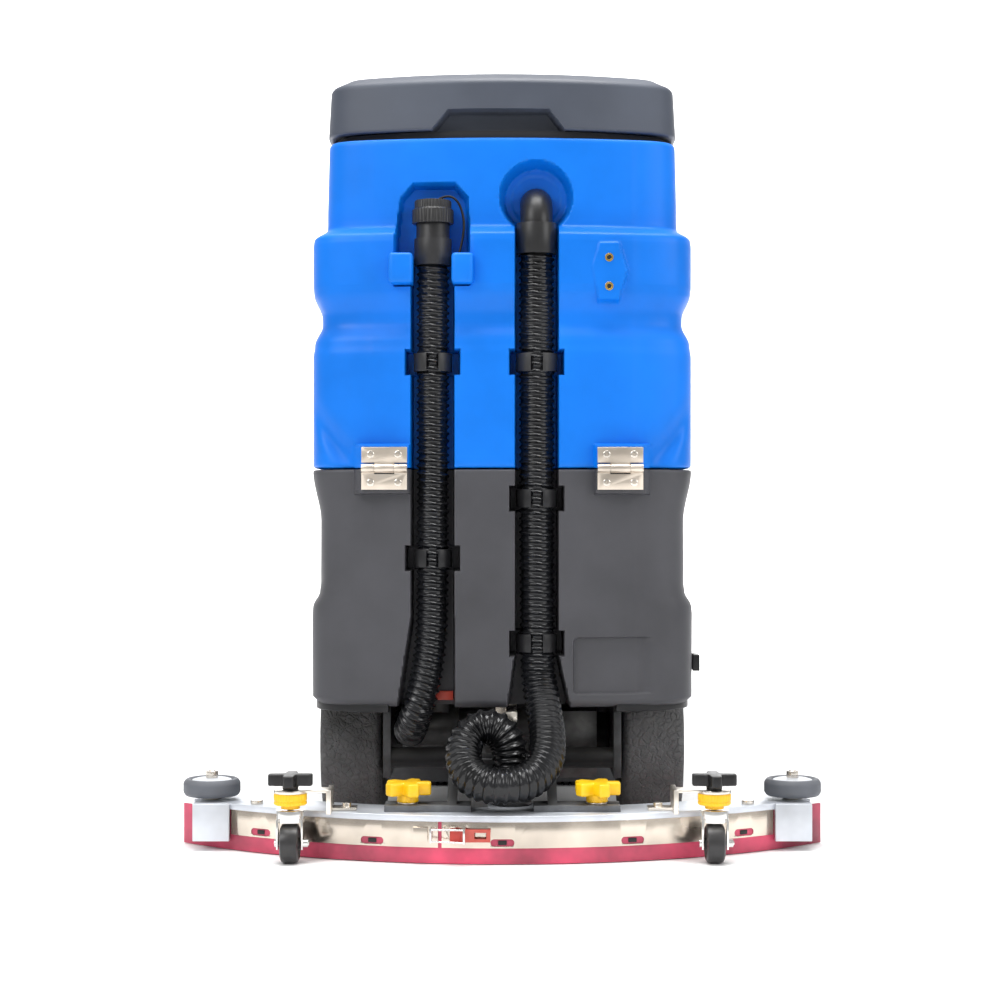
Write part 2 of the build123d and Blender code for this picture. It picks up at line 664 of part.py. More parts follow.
bracket_top = 92
stud_radius = 4
roller_z = (casting_top + 4.3, casting_top + 28)
with BuildPart() as squeegee_hardware:
    for side in (-1, 1):
        x = side * caster_x
        with BuildSketch(Plane.XY.offset(bracket_top - 4)) as flange:
            with Locations((x, caster_y)):
                Circle(21)
            with Locations((x - side * 26, caster_y + 8)):
                Rectangle(52, 26)
        extrude(flange.sketch, amount=4)
        block(sorted((x - side * 46, side * 216)), (-641, -587), (casting_top, bracket_top))
        block(sorted((side * 216, side * 186)), (-612, -587), (casting_top, casting_top + 4))
        rod((side * 199, -600, casting_top + 4), (side * 199, -600, casting_top + 9), 6)
        rod((x, caster_y, 57), (x, caster_y, 111), stud_radius)
        rod((side * roller_x, roller_y, casting_top), (side * roller_x, roller_y, casting_top + 4), 13)
        rod((side * roller_x, roller_y, casting_top), (side * roller_x, roller_y, 100), 5)
        rod((side * roller_x, roller_y, roller_z[1] + run), (side * roller_x, roller_y, 99), 8)
        rod((side * 320, -552, casting_top), (side * 320, -552, casting_top + 5), 8)
        rod((side * knob_x, knob_y, casting_top), (side * knob_x, knob_y, 92), 5)
        rod((side * knob_x, knob_y, yoke_z[1]), (side * knob_x, knob_y, yoke_z[1] + 2), 13)
squeegee_hardware.part.label = "squeegee_hardware"
export_step(squeegee_hardware.part, "parts/squeegee_hardware.step")

for name, side in (("left", -1), ("right", 1)):
    x = side * caster_x
    with BuildPart() as roller:
        rod((side * roller_x, roller_y, roller_z[0]), (side * roller_x, roller_y, roller_z[1]), roller_radius)
        fillet(roller.edges().filter_by(GeomType.CIRCLE), 5)
        rod((side * roller_x, roller_y, 60), (side * roller_x, roller_y, 95), 5 + fit, mode=Mode.SUBTRACT)
    roller.part.label = f"{name}_roller"
    export_step(roller.part, f"parts/{name}_roller.step")

    with BuildPart() as caster_fork:
        rod((x, caster_y, 51.5), (x, caster_y, 66.5), 18)
        for edge in (-1, 1):
            low = x + min(edge * (caster_half + 0.8), edge * (caster_half + 3.3))
            with BuildSketch(Plane.YZ.offset(low)) as leg:
                with BuildLine():
                    Polyline(
                        (caster_y - 14, 56), (caster_y + 14, 56), (caster_y - caster_trail + 9, 18),
                        (caster_y - caster_trail - 9, 18), close=True,
                    )
                make_face()
            extrude(leg.sketch, amount=2.5)
        axle = (caster_y - caster_trail, caster_radius)
        rod((x - 18, *axle), (x + 18, *axle), 3)
        rod((x + 16.8, *axle), (x + 23, *axle), 5)
        rod((x - 19.5, *axle), (x - 16.8, *axle), 5)
        rod((x, caster_y, 56), (x, caster_y, 70), stud_radius + fit, mode=Mode.SUBTRACT)
    caster_fork.part.label = f"{name}_caster_fork"
    export_step(caster_fork.part, f"parts/{name}_caster_fork.step")

    with BuildPart() as caster_wheel:
        rod((x - caster_half, *axle), (x + caster_half, *axle), caster_radius)
        fillet(caster_wheel.edges().filter_by(GeomType.CIRCLE), 3)
        rod((x - 20, *axle), (x + 20, *axle), 3 + fit, mode=Mode.SUBTRACT)
    caster_wheel.part.label = f"{name}_caster_wheel"
    export_step(caster_wheel.part, f"parts/{name}_caster_wheel.step")

    with BuildPart() as lock_knob:
        star(x, caster_y, 97, 15, 4, 28, 13, 13)
        rod((x, caster_y, bracket_top + run), (x, caster_y, 98), 10)
        rod((x, caster_y, 90), (x, caster_y, 111.3), stud_radius + fit, mode=Mode.SUBTRACT)
    lock_knob.part.label = f"{name}_lock_knob"
    export_step(lock_knob.part, f"parts/{name}_lock_knob.step")

    with BuildPart() as height_nut:
        rod((x, caster_y, 73), (x, caster_y, 87.5), 21)
        rod((x, caster_y, 68), (x, caster_y, 73), 12)
        rod((x, caster_y, 60), (x, caster_y, 95), stud_radius + fit, mode=Mode.SUBTRACT)
    height_nut.part.label = f"{name}_height_nut"
    export_step(height_nut.part, f"parts/{name}_height_nut.step")

    with BuildPart() as mount_knob:
        star(side * knob_x, knob_y, 81, 17, 5, 30, 14, 14)
        rod((side * knob_x, knob_y, yoke_z[1] + 2 + run), (side * knob_x, knob_y, 82), 14)
        rod((side * knob_x, knob_y, 70), (side * knob_x, knob_y, 92.3), 5 + fit, mode=Mode.SUBTRACT)
    mount_knob.part.label = f"{name}_mount_knob"
    export_step(mount_knob.part, f"parts/{name}_mount_knob.step")

# ==== Recovery tank ===============================================================================
tank_bottom = seam_z + seam_gap / 2
upper_half = 236
upper_rear = -508
tank_levels = [
    (tank_bottom, body_half, body_rear),
    (664, body_half, body_rear),
    (698, body_half - 12, body_rear + 12),
    (741, body_half, body_rear),
    (806, body_half, body_rear),
    (824, upper_half + 3, upper_rear),
    (tank_top, upper_half, upper_rear),
]
low_top = 610
recess_z = 855
cuff_y = drain_y
lid_axis = (-100, 947)
plate_x = 141
insert_z = (740, 778)
insert_radius = 5.5
insert_bore = 3.0
insert_face = -523

with BuildPart() as recovery_tank:
    loft(
        [plan_face(z, half, rear, tank_step, body_bow, body_corner) for z, half, rear in tank_levels],
        ruled=True,
    )
    block((-243, 243), (tank_step - 10, body_front), (tank_bottom, low_top))
    for side in (-1, 1):
        x = sorted((side * (hinge_x - hinge_half - 3), side * (hinge_x + hinge_half + 3)))
        block(x, (pad_face, -500), (508, 531))
    block((-228, 228), (-452, tank_step - 8), (tank_bottom + wall, tank_top - 12), mode=Mode.SUBTRACT)
    block((-236, 236), (tank_step - 20, body_front - wall), (tank_bottom + wall, low_top - wall),
          mode=Mode.SUBTRACT)
    for x in ((-205, -134), (-52, 4), (88, 205)):
        block(x, (-502, -450), (540, 720), mode=Mode.SUBTRACT)
    block((-190, 190), (-440, -150), (tank_top - 15, tank_top + 5), mode=Mode.SUBTRACT)
    for centre, top in ((drain_x, 760), (vacuum_x, recess_z - 15)):
        x = (centre - channel_half, centre + channel_half)
        block(x, (body_rear - 30, channel_floor), (tank_bottom - 5, top), mode=Mode.SUBTRACT)
    for centre, middle in tank_pockets:
        z = (middle - pocket_height / 2, middle + pocket_height / 2)
        x = (centre - pocket_half, centre + pocket_half)
        block(x, (body_rear - 30, pocket_floor), z, mode=Mode.SUBTRACT)
    with BuildSketch(Plane.XZ.offset(-channel_floor)):
        with BuildLine():
            Polyline(
                (-118, 877), (-63, 877), (-47, 859), (-44, 804), (-44, 742), (-141, 742), (-141, 804),
                (-134, 859), close=True,
            )
        make_face()
    extrude(amount=90, mode=Mode.SUBTRACT)
    with BuildSketch(Plane.XZ.offset(-channel_floor)):
        with Locations((vacuum_x, recess_z + 5)):
            Circle(43)
    extrude(amount=60, taper=-10, mode=Mode.SUBTRACT)
    block((-149, drain_x - 25.4), (-546, channel_floor), (742, 782))
    block((drain_x + 25.4, -38), (-546, channel_floor), (742, 782))
    with BuildSketch(Plane.XZ.offset(-insert_face)):
        with BuildLine():
            Polyline((128, 798), (154, 798), (166, 761), (154, 720), (127, 720), (119, 768), close=True)
        make_face()
    extrude(amount=-18)
    for z in insert_z:
        rod((plate_x, insert_face - 5, z), (plate_x, insert_face + 12, z), insert_radius, mode=Mode.SUBTRACT)
    for side in (-1, 1):
        x = sorted((side * 62, side * 92))
        rod((x[0], *lid_axis), (x[1], *lid_axis), 7)
        block(x, (tank_step - 2, lid_axis[0]), (930, lid_axis[1]))
    rod((-92, *lid_axis), (92, *lid_axis), 3)
recovery_tank.part.label = "recovery_tank"
export_step(recovery_tank.part, "parts/recovery_tank.step")

with BuildPart() as tank_lid:
    loft(
        [
            plan_face(lid_bottom, upper_half + 2, upper_rear - 3, tank_step - 4, 62, body_corner),
            plan_face(lid_shoulder, upper_half - 2, upper_rear + 3, tank_step - 4, 62, body_corner),
            plan_face(lid_top, upper_half - 34, upper_rear + 28, tank_step - 24, 52, body_corner),
        ],
        ruled=True,
    )
    block((-222, 222), (-436, tank_step - 12), (lid_bottom - 1, lid_shoulder), mode=Mode.SUBTRACT)
    with BuildSketch(Plane.XZ.offset(472)):
        with BuildLine():
            Polyline(
                (-93, 940), (82, 940), (82, lid_bottom), (61, 976), (-71, 976), (-93, lid_bottom), close=True
            )
        make_face()
    extrude(amount=60, mode=Mode.SUBTRACT)
    rod((-60, *lid_axis), (60, *lid_axis), 7)
    block((-60, 60), (tank_step - 6, lid_axis[0]), (lid_axis[1], 960))
    rod((-61, *lid_axis), (61, *lid_axis), 3 + fit, mode=Mode.SUBTRACT)
tank_lid.part.label = "tank_lid"
export_step(tank_lid.part, "parts/tank_lid.step")

with BuildPart() as lid_gasket:
    loft([plan_face(z, upper_half - 8, upper_rear + 8, tank_step - 8, 58, body_corner)
          for z in (tank_top, lid_bottom - run)])
    block((-200, 200), (-432, -142), (tank_top - 1, lid_bottom + 1), mode=Mode.SUBTRACT)
lid_gasket.part.label = "lid_gasket"
export_step(lid_gasket.part, "parts/lid_gasket.step")

with BuildPart() as vacuum_motor:
    rod((120, -200, 770), (120, -200, 880), 62)
    rod((120, -200, 880), (120, -200, 905), 30)
    block((90, 150), (-145, tank_step - 8), (790, 860))
vacuum_motor.part.label = "vacuum_motor"
export_step(vacuum_motor.part, "parts/vacuum_motor.step")

elbow_bend = channel_floor - vacuum_y
cuff_z = (784, 824)
drain_cuff_z = (769, 804)
neck_top = 838
cap_z = (824.3, 843, 855)
with BuildPart() as tank_hose_fittings:
    for centre, middle in tank_pockets:
        y = drain_y if centre == drain_x else vacuum_y
        radius = drain_radius if centre == drain_x else vacuum_radius
        add(hose_clip(centre, y, middle, radius))
    with BuildSketch(Plane.XZ.offset(-channel_floor)):
        with Locations((vacuum_x, cuff_z[1] + elbow_bend)):
            Circle(21.5)
    revolve(axis=Axis((0, channel_floor, cuff_z[1]), (1, 0, 0)), revolution_arc=90)
    rod((vacuum_x, vacuum_y, cuff_z[0]), (vacuum_x, vacuum_y, cuff_z[1] + 0.5), 26.5)
    rod((drain_x, drain_y, drain_cuff_z[0]), (drain_x, drain_y, drain_cuff_z[1]), 24.8)
    rod((drain_x, drain_y, drain_cuff_z[1]), (drain_x, drain_y, neck_top), 22)
tank_hose_fittings.part.label = "tank_hose_fittings"
export_step(tank_hose_fittings.part, "parts/tank_hose_fittings.step")

with BuildPart() as drain_cap:
    rod((drain_x, drain_y, cap_z[0]), (drain_x, drain_y, cap_z[1]), 27.5)
    rod((drain_x, drain_y, cap_z[1]), (drain_x, drain_y, cap_z[2]), 24.5)
    fillet(drain_cap.edges().group_by(Axis.Z)[-1], 5)
    rod((drain_x, drain_y, 820), (drain_x, drain_y, neck_top + run), 22 + fit, mode=Mode.SUBTRACT)
drain_cap.part.label = "drain_cap"
export_step(drain_cap.part, "parts/drain_cap.step")

with BuildPart() as threaded_inserts:
    for z in insert_z:
        rod((plate_x, insert_face, z), (plate_x, insert_face + 12, z), insert_radius)
        rod((plate_x, insert_face - 1, z), (plate_x, insert_face + 13, z), insert_bore, mode=Mode.SUBTRACT)
threaded_inserts.part.label = "threaded_inserts"
export_step(threaded_inserts.part, "parts/threaded_inserts.step")

# ==== Seat ========================================================================================
seat_front = 200
seat_z = 640
with BuildPart() as seat_base:
    block((-205, 205), (-100, seat_front - 4), (low_top, seat_z))
    block((-199, 199), (-94, seat_front - 10), (low_top - 1, seat_z - wall), mode=Mode.SUBTRACT)
seat_base.part.label = "seat_base"
export_step(seat_base.part, "parts/seat_base.step")

with BuildPart() as cushion:
    block((-212, 212), (-48, seat_front), (seat_z + run, 712))
    fillet(cushion.edges().filter_by(Axis.Z), 35)
    fillet(cushion.edges().group_by(Axis.Z)[-1], 16)
with BuildPart() as backrest:
    block((-205, 205), (-108.5, -50), (seat_z + run, 905))
    fillet(backrest.edges().filter_by(Axis.Y).group_by(Axis.Z)[-1], 45)
seat_cushions = Compound(label="seat_cushions", children=[cushion.part.solid(), backrest.part.solid()])
export_step(seat_cushions, "parts/seat_cushions.step")

# ==== Hoses =======================================================================================
vacuum_route = [
    (vacuum_x, vacuum_y, cuff_z[0]), (vacuum_x, vacuum_y, 250), (50, -512, 208), (58, -540, 166),
    (60, -578, 130), (44, -612, 104), (12, -632, 96), (-22, -628, 96), (-46, -606, 108), (-52, -582, 134),
    (-42, -564, 157), (-16, -559, 166), (6, -558, 150), (inlet_x, inlet_y, 118), (inlet_x, inlet_y, 86),
]
drain_route = [
    (drain_x, drain_y, drain_cuff_z[0]), (drain_x, drain_y, 340), (-94, -505, 272), (-102, -505, 214),
    (-115, -501, 172), (-124, -479, 147), (-125, -450, 149), (-123, -426, 176), (-121, -415, 215),
    (-120, -412, 258),
]
tether_route = [
    (-84, drain_y - 4, 856.7), (-72, -509, 863), (-57, -511, 853), (-50, -512, 828), (-52, -513, 803),
    (-57, -514, 783.7),
]


def hose(label, route, radius):
    """A round hose: straight runs joined by tangent arcs, each as large as its two runs allow."""
    points = [Vector(*point) for point in route]
    radii = []
    for before, at, after in zip(points, points[1:], points[2:]):
        turn = (at - before).get_angle(after - at)
        radii.append(0.45 * min((at - before).length, (after - at).length) / tan(radians(turn / 2)))
    with BuildPart() as tube:
        with BuildLine() as path:
            FilletPolyline(*points, radius=radii)
        with BuildSketch(Plane(origin=points[0], z_dir=points[1] - points[0])):
            Circle(radius)
        sweep(path=path.wires()[0])
    tube.part.label = label
    length = path.wires()[0].length
    print(label, "radii", [round(bend) for bend in radii], "length", round(length),
          "volume over section times length", round(tube.part.volume / (pi * radius**2 * length), 4))
    export_step(tube.part, f"parts/{label}.step")


hose("vacuum_hose", vacuum_route, vacuum_radius)
hose("drain_hose", drain_route, drain_radius)
hose("cap_tether", tether_route, 1.6)
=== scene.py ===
"""Ride-on floor scrubber: shells, hoses, squeegee, seat and finishes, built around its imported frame.

Lengths are in metres, +X is the machine's right, +Y forward and +Z up, with the floor at Z = 0.
"""

from math import cos, pi, radians, sin

import bmesh
import bpy
import numpy as np
from bpy.props import FloatProperty, FloatVectorProperty, PointerProperty
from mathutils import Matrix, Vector


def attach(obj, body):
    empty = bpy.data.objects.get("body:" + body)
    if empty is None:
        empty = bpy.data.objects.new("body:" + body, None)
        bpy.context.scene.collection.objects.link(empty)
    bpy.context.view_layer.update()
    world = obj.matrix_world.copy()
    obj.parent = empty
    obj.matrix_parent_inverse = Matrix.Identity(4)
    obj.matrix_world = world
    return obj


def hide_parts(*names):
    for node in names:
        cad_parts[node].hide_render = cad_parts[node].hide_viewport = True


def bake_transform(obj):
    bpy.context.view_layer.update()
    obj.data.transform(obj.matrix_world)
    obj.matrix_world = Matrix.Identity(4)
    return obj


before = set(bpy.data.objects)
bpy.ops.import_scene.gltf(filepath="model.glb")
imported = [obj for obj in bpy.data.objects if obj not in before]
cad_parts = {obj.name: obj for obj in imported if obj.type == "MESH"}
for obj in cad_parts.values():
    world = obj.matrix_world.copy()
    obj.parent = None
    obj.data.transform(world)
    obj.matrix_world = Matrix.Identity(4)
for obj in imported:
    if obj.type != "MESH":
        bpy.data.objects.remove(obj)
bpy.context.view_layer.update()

bl_info = {
    "name": "Ride-on Floor Scrubber",
    "version": (1, 0, 0),
    "blender": (4, 5, 0),
    "location": "View3D > Sidebar > Scrubber",
    "description": "Builds the moulded shells, hoses, squeegee, seat and finishes of a ride-on scrubber",
    "category": "Object",
}

RIGHT, FORWARD, UP = np.eye(3)
SIDES = (-1, 1)


# ---- Sizes that a user would change ----------------------------------------------------------------
def colour_property(name, description, default):
    """A colour chosen in the sidebar, linear red, green and blue."""
    return FloatVectorProperty(
        name=name, description=description, default=default, size=3, min=0, max=1, subtype="COLOR"
    )


def length_property(name, description, default):
    """A length in metres."""
    return FloatProperty(name=name, description=description, default=default, min=0, unit="LENGTH")


class ShellSettings(bpy.types.PropertyGroup):
    """Colours and edge rounding of the moulded shells."""

    tank_colour: colour_property("Tank", "Colour of the recovery tank", (0.0, 0.160, 0.68))
    body_colour: colour_property("Body", "Colour of the lower body", (0.055, 0.055, 0.062))
    lid_colour: colour_property("Lid", "Colour of the tank lid", (0.057, 0.066, 0.088))
    channel_edge: length_property("Channel edge", "Rounding of the hose channels' edges", 0.0022)
    mould_line: length_property("Mould line", "Depth of the parting lines left by the mould", 0.0005)


class HoseSettings(bpy.types.PropertyGroup):
    """Corrugation of the two hoses."""

    rib_pitch: length_property("Rib pitch", "Distance from rib to rib", 0.0094)
    rib_depth: length_property("Rib depth", "How far the ribs stand above the wall between them", 0.0034)
    hose_colour: colour_property("Hose", "Colour of the hoses", (0.006, 0.0065, 0.008))


class SqueegeeSettings(bpy.types.PropertyGroup):
    """Colours of the squeegee and its hardware."""

    blade_colour: colour_property("Blade", "Colour of the squeegee blades", (0.53, 0.052, 0.112))
    knob_colour: colour_property("Knob", "Colour of the mounting knobs and height nuts", (1.0, 0.50, 0.002))
    casting_colour: colour_property("Casting", "Colour of the cast squeegee body", (0.60, 0.63, 0.68))


class SeatSettings(bpy.types.PropertyGroup):
    """Padding of the seat."""

    vinyl_colour: colour_property("Vinyl", "Colour of the seat cover", (0.012, 0.012, 0.014))
    inflation: FloatProperty(name="Padding pressure", description="How hard the foam fills its cover",
                             default=3.5, min=0, max=10)
    swell: length_property("Padding swell", "Most that the padding may grow from its cut shape", 0.009)


class StageSettings(bpy.types.PropertyGroup):
    """Floor, light and camera."""

    floor_colour: colour_property("Floor", "Colour of the floor and backdrop", (0.93, 0.93, 0.93))
    camera_distance: length_property("Camera distance", "From the camera to the machine's origin", 3.15)
    camera_height: length_property("Camera height", "Height of the lens above the floor", 0.458)
    lens: FloatProperty(name="Focal length", description="Focal length in millimetres on a 36 mm sensor",
                        default=71.75, min=10, max=300)


# ---- Surfaces as whole arrays ----------------------------------------------------------------------
def unit(vectors):
    """Each vector divided by its length."""
    vectors = np.asarray(vectors, float)
    return vectors / np.maximum(np.linalg.norm(vectors, axis=-1, keepdims=True), 1e-12)


def smoothstep(value):
    """Zero below 0, one above 1, and 3t^2 - 2t^3 between them."""
    value = np.clip(value, 0, 1)
    return value * value * (3 - 2 * value)


def rounded(outline, radius, loop=False, steps=5):
    """An outline whose corners are quadratic curves that start radius before each corner and end as far after
    it."""
    corner = np.asarray(outline, float)
    before, after = np.roll(corner, 1, 0), np.roll(corner, -1, 0)
    back, ahead = before - corner, after - corner
    reach = np.minimum(np.linalg.norm(back, axis=1), np.linalg.norm(ahead, axis=1)) * 0.49
    reach = np.minimum(reach, radius)[:, None]
    start, end = corner + unit(back) * reach, corner + unit(ahead) * reach
    t = np.linspace(0, 1, steps)[None, :, None]
    curve = (1 - t) ** 2 * start[:, None] + 2 * t * (1 - t) * corner[:, None] + t**2 * end[:, None]
    if loop:
        return curve.reshape(-1, corner.shape[1])
    return np.concatenate([corner[:1], curve[1:-1].reshape(-1, corner.shape[1]), corner[-1:]])


def ringed(rings, loop=False, capped=True):
    """Quads between successive rings of points, and one flat face over the first and the last ring.

    With loop the last ring is joined to the first, as on a torus, and there are no end faces."""
    rings = np.asarray(rings, float)
    rows, columns = rings.shape[:2]
    row, column = np.meshgrid(np.arange(rows if loop else rows - 1), np.arange(columns), indexing="ij")
    ahead, up = (column + 1) % columns, (row + 1) % rows
    quads = np.stack([row * columns + column, row * columns + ahead, up * columns + ahead,
                      up * columns + column], -1)
    faces = [quads.reshape(-1, 4)]
    if capped and not loop:
        faces += [np.arange(columns)[::-1][None], np.arange(columns)[None] + (rows - 1) * columns]
    return outward((rings.reshape(-1, 3), faces))


def enclosed(surface):
    """Signed volume: a third of each triangle's area times its distance from the origin, added up."""
    points, faces = surface
    total = 0.0
    for group in faces:
        first = points[group[:, 0]]
        for step in range(1, group.shape[1] - 1):
            total += np.einsum("ij,ij->", first, np.cross(points[group[:, step]], points[group[:, step + 1]]))
    return total / 6


def outward(surface):
    """The surface with its faces turned over if they enclose a negative volume."""
    points, faces = surface
    if enclosed(surface) < 0:
        faces = [group[:, ::-1] for group in faces]
    return points, faces


def joined(surfaces):
    """Several closed surfaces as one."""
    points, faces, start = [], [], 0
    for own_points, own_faces in surfaces:
        points.append(own_points)
        faces += [group + start for group in own_faces]
        start += len(own_points)
    return np.concatenate(points), faces


def across(axis):
    """Two unit vectors square to an axis and to each other."""
    axis = unit(axis)
    side = unit(np.cross(UP if abs(axis[2]) < 0.9 else RIGHT, axis))
    return side, np.cross(axis, side)


def lathed(profile, origin, axis, turns=56, lobes=0, lobe_depth=0.0, lobed=None, closed=False):
    """A profile of (radius, height) carried once round an axis. A closed profile makes a ring with a hole
    through it.

    Where lobed is true for a profile row, that row's radius falls lobe_depth between its lobes, as a
    cosine."""
    profile = np.asarray(profile, float)
    side, other = across(axis)
    angle = np.arange(turns) * 2 * pi / turns
    wave = (1 - np.cos(lobes * angle)) / 2 * lobe_depth
    rows = np.zeros(len(profile)) if lobed is None else np.asarray(lobed, float)
    radius = profile[:, :1] - rows[:, None] * wave[None]
    ring = np.cos(angle)[:, None] * side + np.sin(angle)[:, None] * other
    points = np.asarray(origin, float) + radius[..., None] * ring + profile[:, 1, None, None] * unit(axis)
    return ringed(points, loop=closed)


def bar(start, end, radius, edge=0.001, turns=32):
    """A round bar from one point to another with its end edges rounded."""
    start, end = np.asarray(start, float), np.asarray(end, float)
    length = np.linalg.norm(end - start)
    profile = rounded([(radius * 0.3, 0), (radius, 0), (radius, length), (radius * 0.3, length)], edge)
    return lathed(profile, start, end - start, turns)


def carried(path, up=None):
    """Side and up vectors along a path. With no fixed up they are turned as little as possible from ring to
    ring."""
    along = unit(np.gradient(path, axis=0))
    if up is not None:
        side = unit(np.cross(along, up))
        return side, np.cross(side, along)
    side = np.empty_like(along)
    side[0] = across(along[0])[0]
    for index in range(1, len(along)):
        side[index] = unit(side[index - 1] - along[index] * (side[index - 1] @ along[index]))
    return side, np.cross(along, side)


def slab(outline, low, high, edge, steps=4, origin=(0, 0, 0), axes=(RIGHT, FORWARD, UP)):
    """A closed outline in two axes raised along a third. Its edges roll over in quarter circles, each ring
    moved inwards along the outline's own normals by the circle's depth there."""
    outline = np.asarray(outline, float)
    along = unit(np.roll(outline, -1, 0) - np.roll(outline, 1, 0))
    normal = np.stack([along[:, 1], -along[:, 0]], 1)
    turn = np.linspace(0, pi / 2, steps)
    depth = np.concatenate([edge * (1 - np.sin(turn)), edge * (1 - np.sin(turn[::-1]))])
    height = np.concatenate([low + edge * (1 - np.cos(turn)), high - edge * (1 - np.cos(turn[::-1]))])
    flat = outline[None] - normal[None] * depth[:, None, None]
    first, second, third = (np.asarray(axis, float) for axis in axes)
    points = flat[..., :1] * first + flat[..., 1:] * second + height[:, None, None] * third
    return ringed(points + np.asarray(origin, float))


def rounded_box(low, high, edge, corner=None):
    """A box between two corners with vertical corners of one radius and every edge rolled over."""
    (left, rear, bottom), (right, front, top) = low, high
    corner = corner or edge * 1.5
    outline = rounded([(left, rear), (right, rear), (right, front), (left, front)], corner, loop=True)
    return slab(outline, bottom, top, edge)


def star_outline(lobes, reach, hub, width, turns=160, sharp=7):
    """A knob's outline: at each angle the larger of a hub circle and a round-cornered arm, blended by
    powers."""
    angle = np.arange(turns) * 2 * pi / turns
    off = (angle + pi / lobes) % (2 * pi / lobes) - pi / lobes
    arm = (np.abs(np.cos(off) / reach) ** sharp + np.abs(np.sin(off) / (width / 2)) ** sharp) ** (-1 / sharp)
    radius = (arm**sharp + hub**sharp) ** (1 / sharp)
    return np.stack([radius * np.cos(angle), radius * np.sin(angle)], 1)


def piece(name, surfaces, finish_name, body, replaces=(), sharp=38):
    """One object of the machine: its closed surfaces as a mesh, its finish, the body that it rides on and the
    CAD nodes that it stands for."""
    points, faces = joined(surfaces)
    mesh = bpy.data.meshes.new(name)
    mesh.vertices.add(len(points))
    mesh.vertices.foreach_set("co", points.astype(np.float32).ravel())
    sizes = np.concatenate([np.full(len(group), group.shape[1]) for group in faces])
    corners = np.concatenate([group.ravel() for group in faces])
    mesh.loops.add(len(corners))
    mesh.loops.foreach_set("vertex_index", corners.astype(np.int32))
    mesh.polygons.add(len(sizes))
    mesh.polygons.foreach_set("loop_start", (np.cumsum(sizes) - sizes).astype(np.int32))
    mesh.update(calc_edges=True)
    mesh.validate()
    return settled(name, mesh, finish_name, body, replaces, sharp)


def settled(name, mesh, finish_name, body, replaces=(), sharp=38):
    """Puts a finished mesh into the scene, smooth except across edges sharper than an angle."""
    mesh.polygons.foreach_set("use_smooth", np.ones(len(mesh.polygons), bool))
    mesh.set_sharp_from_angle(angle=radians(sharp))
    mesh.materials.clear()
    mesh.materials.append(finish(finish_name))
    item = bpy.data.objects.new(name, mesh)
    bpy.context.scene.collection.objects.link(item)
    if body:
        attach(item, body)
    if replaces:
        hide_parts(*replaces)
    return item


def softened(node, width, finish_name, body):
    """A copy of a machined CAD node with its seams merged and its edges rounded by a bevel, standing for the
    node."""
    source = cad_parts[node].data
    shape = bmesh.new()
    shape.from_mesh(source)
    bmesh.ops.remove_doubles(shape, verts=shape.verts, dist=2e-6)
    bmesh.ops.dissolve_limit(shape, angle_limit=radians(0.8), verts=shape.verts, edges=shape.edges)
    mesh = bpy.data.meshes.new(node)
    shape.to_mesh(mesh)
    shape.free()
    draft = bpy.data.objects.new("draft", mesh)
    bpy.context.scene.collection.objects.link(draft)
    bevel = draft.modifiers.new("Rounded edges", "BEVEL")
    bevel.width = width
    bevel.segments = 2
    bevel.limit_method = "ANGLE"
    bevel.angle_limit = radians(35)
    bevel.use_clamp_overlap = True
    bpy.context.view_layer.update()
    done = bpy.data.meshes.new_from_object(draft.evaluated_get(bpy.context.evaluated_depsgraph_get()))
    bpy.data.objects.remove(draft)
    bpy.data.meshes.remove(mesh)
    return settled(f"{node}_finished", done, finish_name, body, (node,))


def painted(node, finish_name):
    """Gives a CAD node that is shown as it is a finish of its own."""
    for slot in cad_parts[node].material_slots:
        slot.material = finish(finish_name)


# ---- Finishes --------------------------------------------------------------------------------------
def node_of(tree, kind, **values):
    """A new shader node with its settings and unlinked inputs filled in by name."""
    node = tree.nodes.new(kind)
    for key, value in values.items():
        if key in node.inputs:
            node.inputs[key].default_value = value
        else:
            setattr(node, key, value)
    return node


def math_node(tree, operation, first, second, clamp=False):
    """A Math node between two sockets or numbers, and its result."""
    node = tree.nodes.new("ShaderNodeMath")
    node.operation = operation
    node.use_clamp = clamp
    for index, value in enumerate((first, second)):
        if isinstance(value, (int, float)):
            node.inputs[index].default_value = value
        else:
            tree.links.new(value, node.inputs[index])
    return node.outputs[0]


def group_tree(name, inputs, outputs):
    """An empty shader group with named number inputs and outputs."""
    tree = bpy.data.node_groups.new(name, "ShaderNodeTree")
    for label, default in inputs:
        socket = tree.interface.new_socket(label, in_out="INPUT", socket_type="NodeSocketFloat")
        socket.default_value = default
    for label in outputs:
        tree.interface.new_socket(label, in_out="OUTPUT", socket_type="NodeSocketFloat")
    return tree, tree.nodes.new("NodeGroupInput"), tree.nodes.new("NodeGroupOutput")


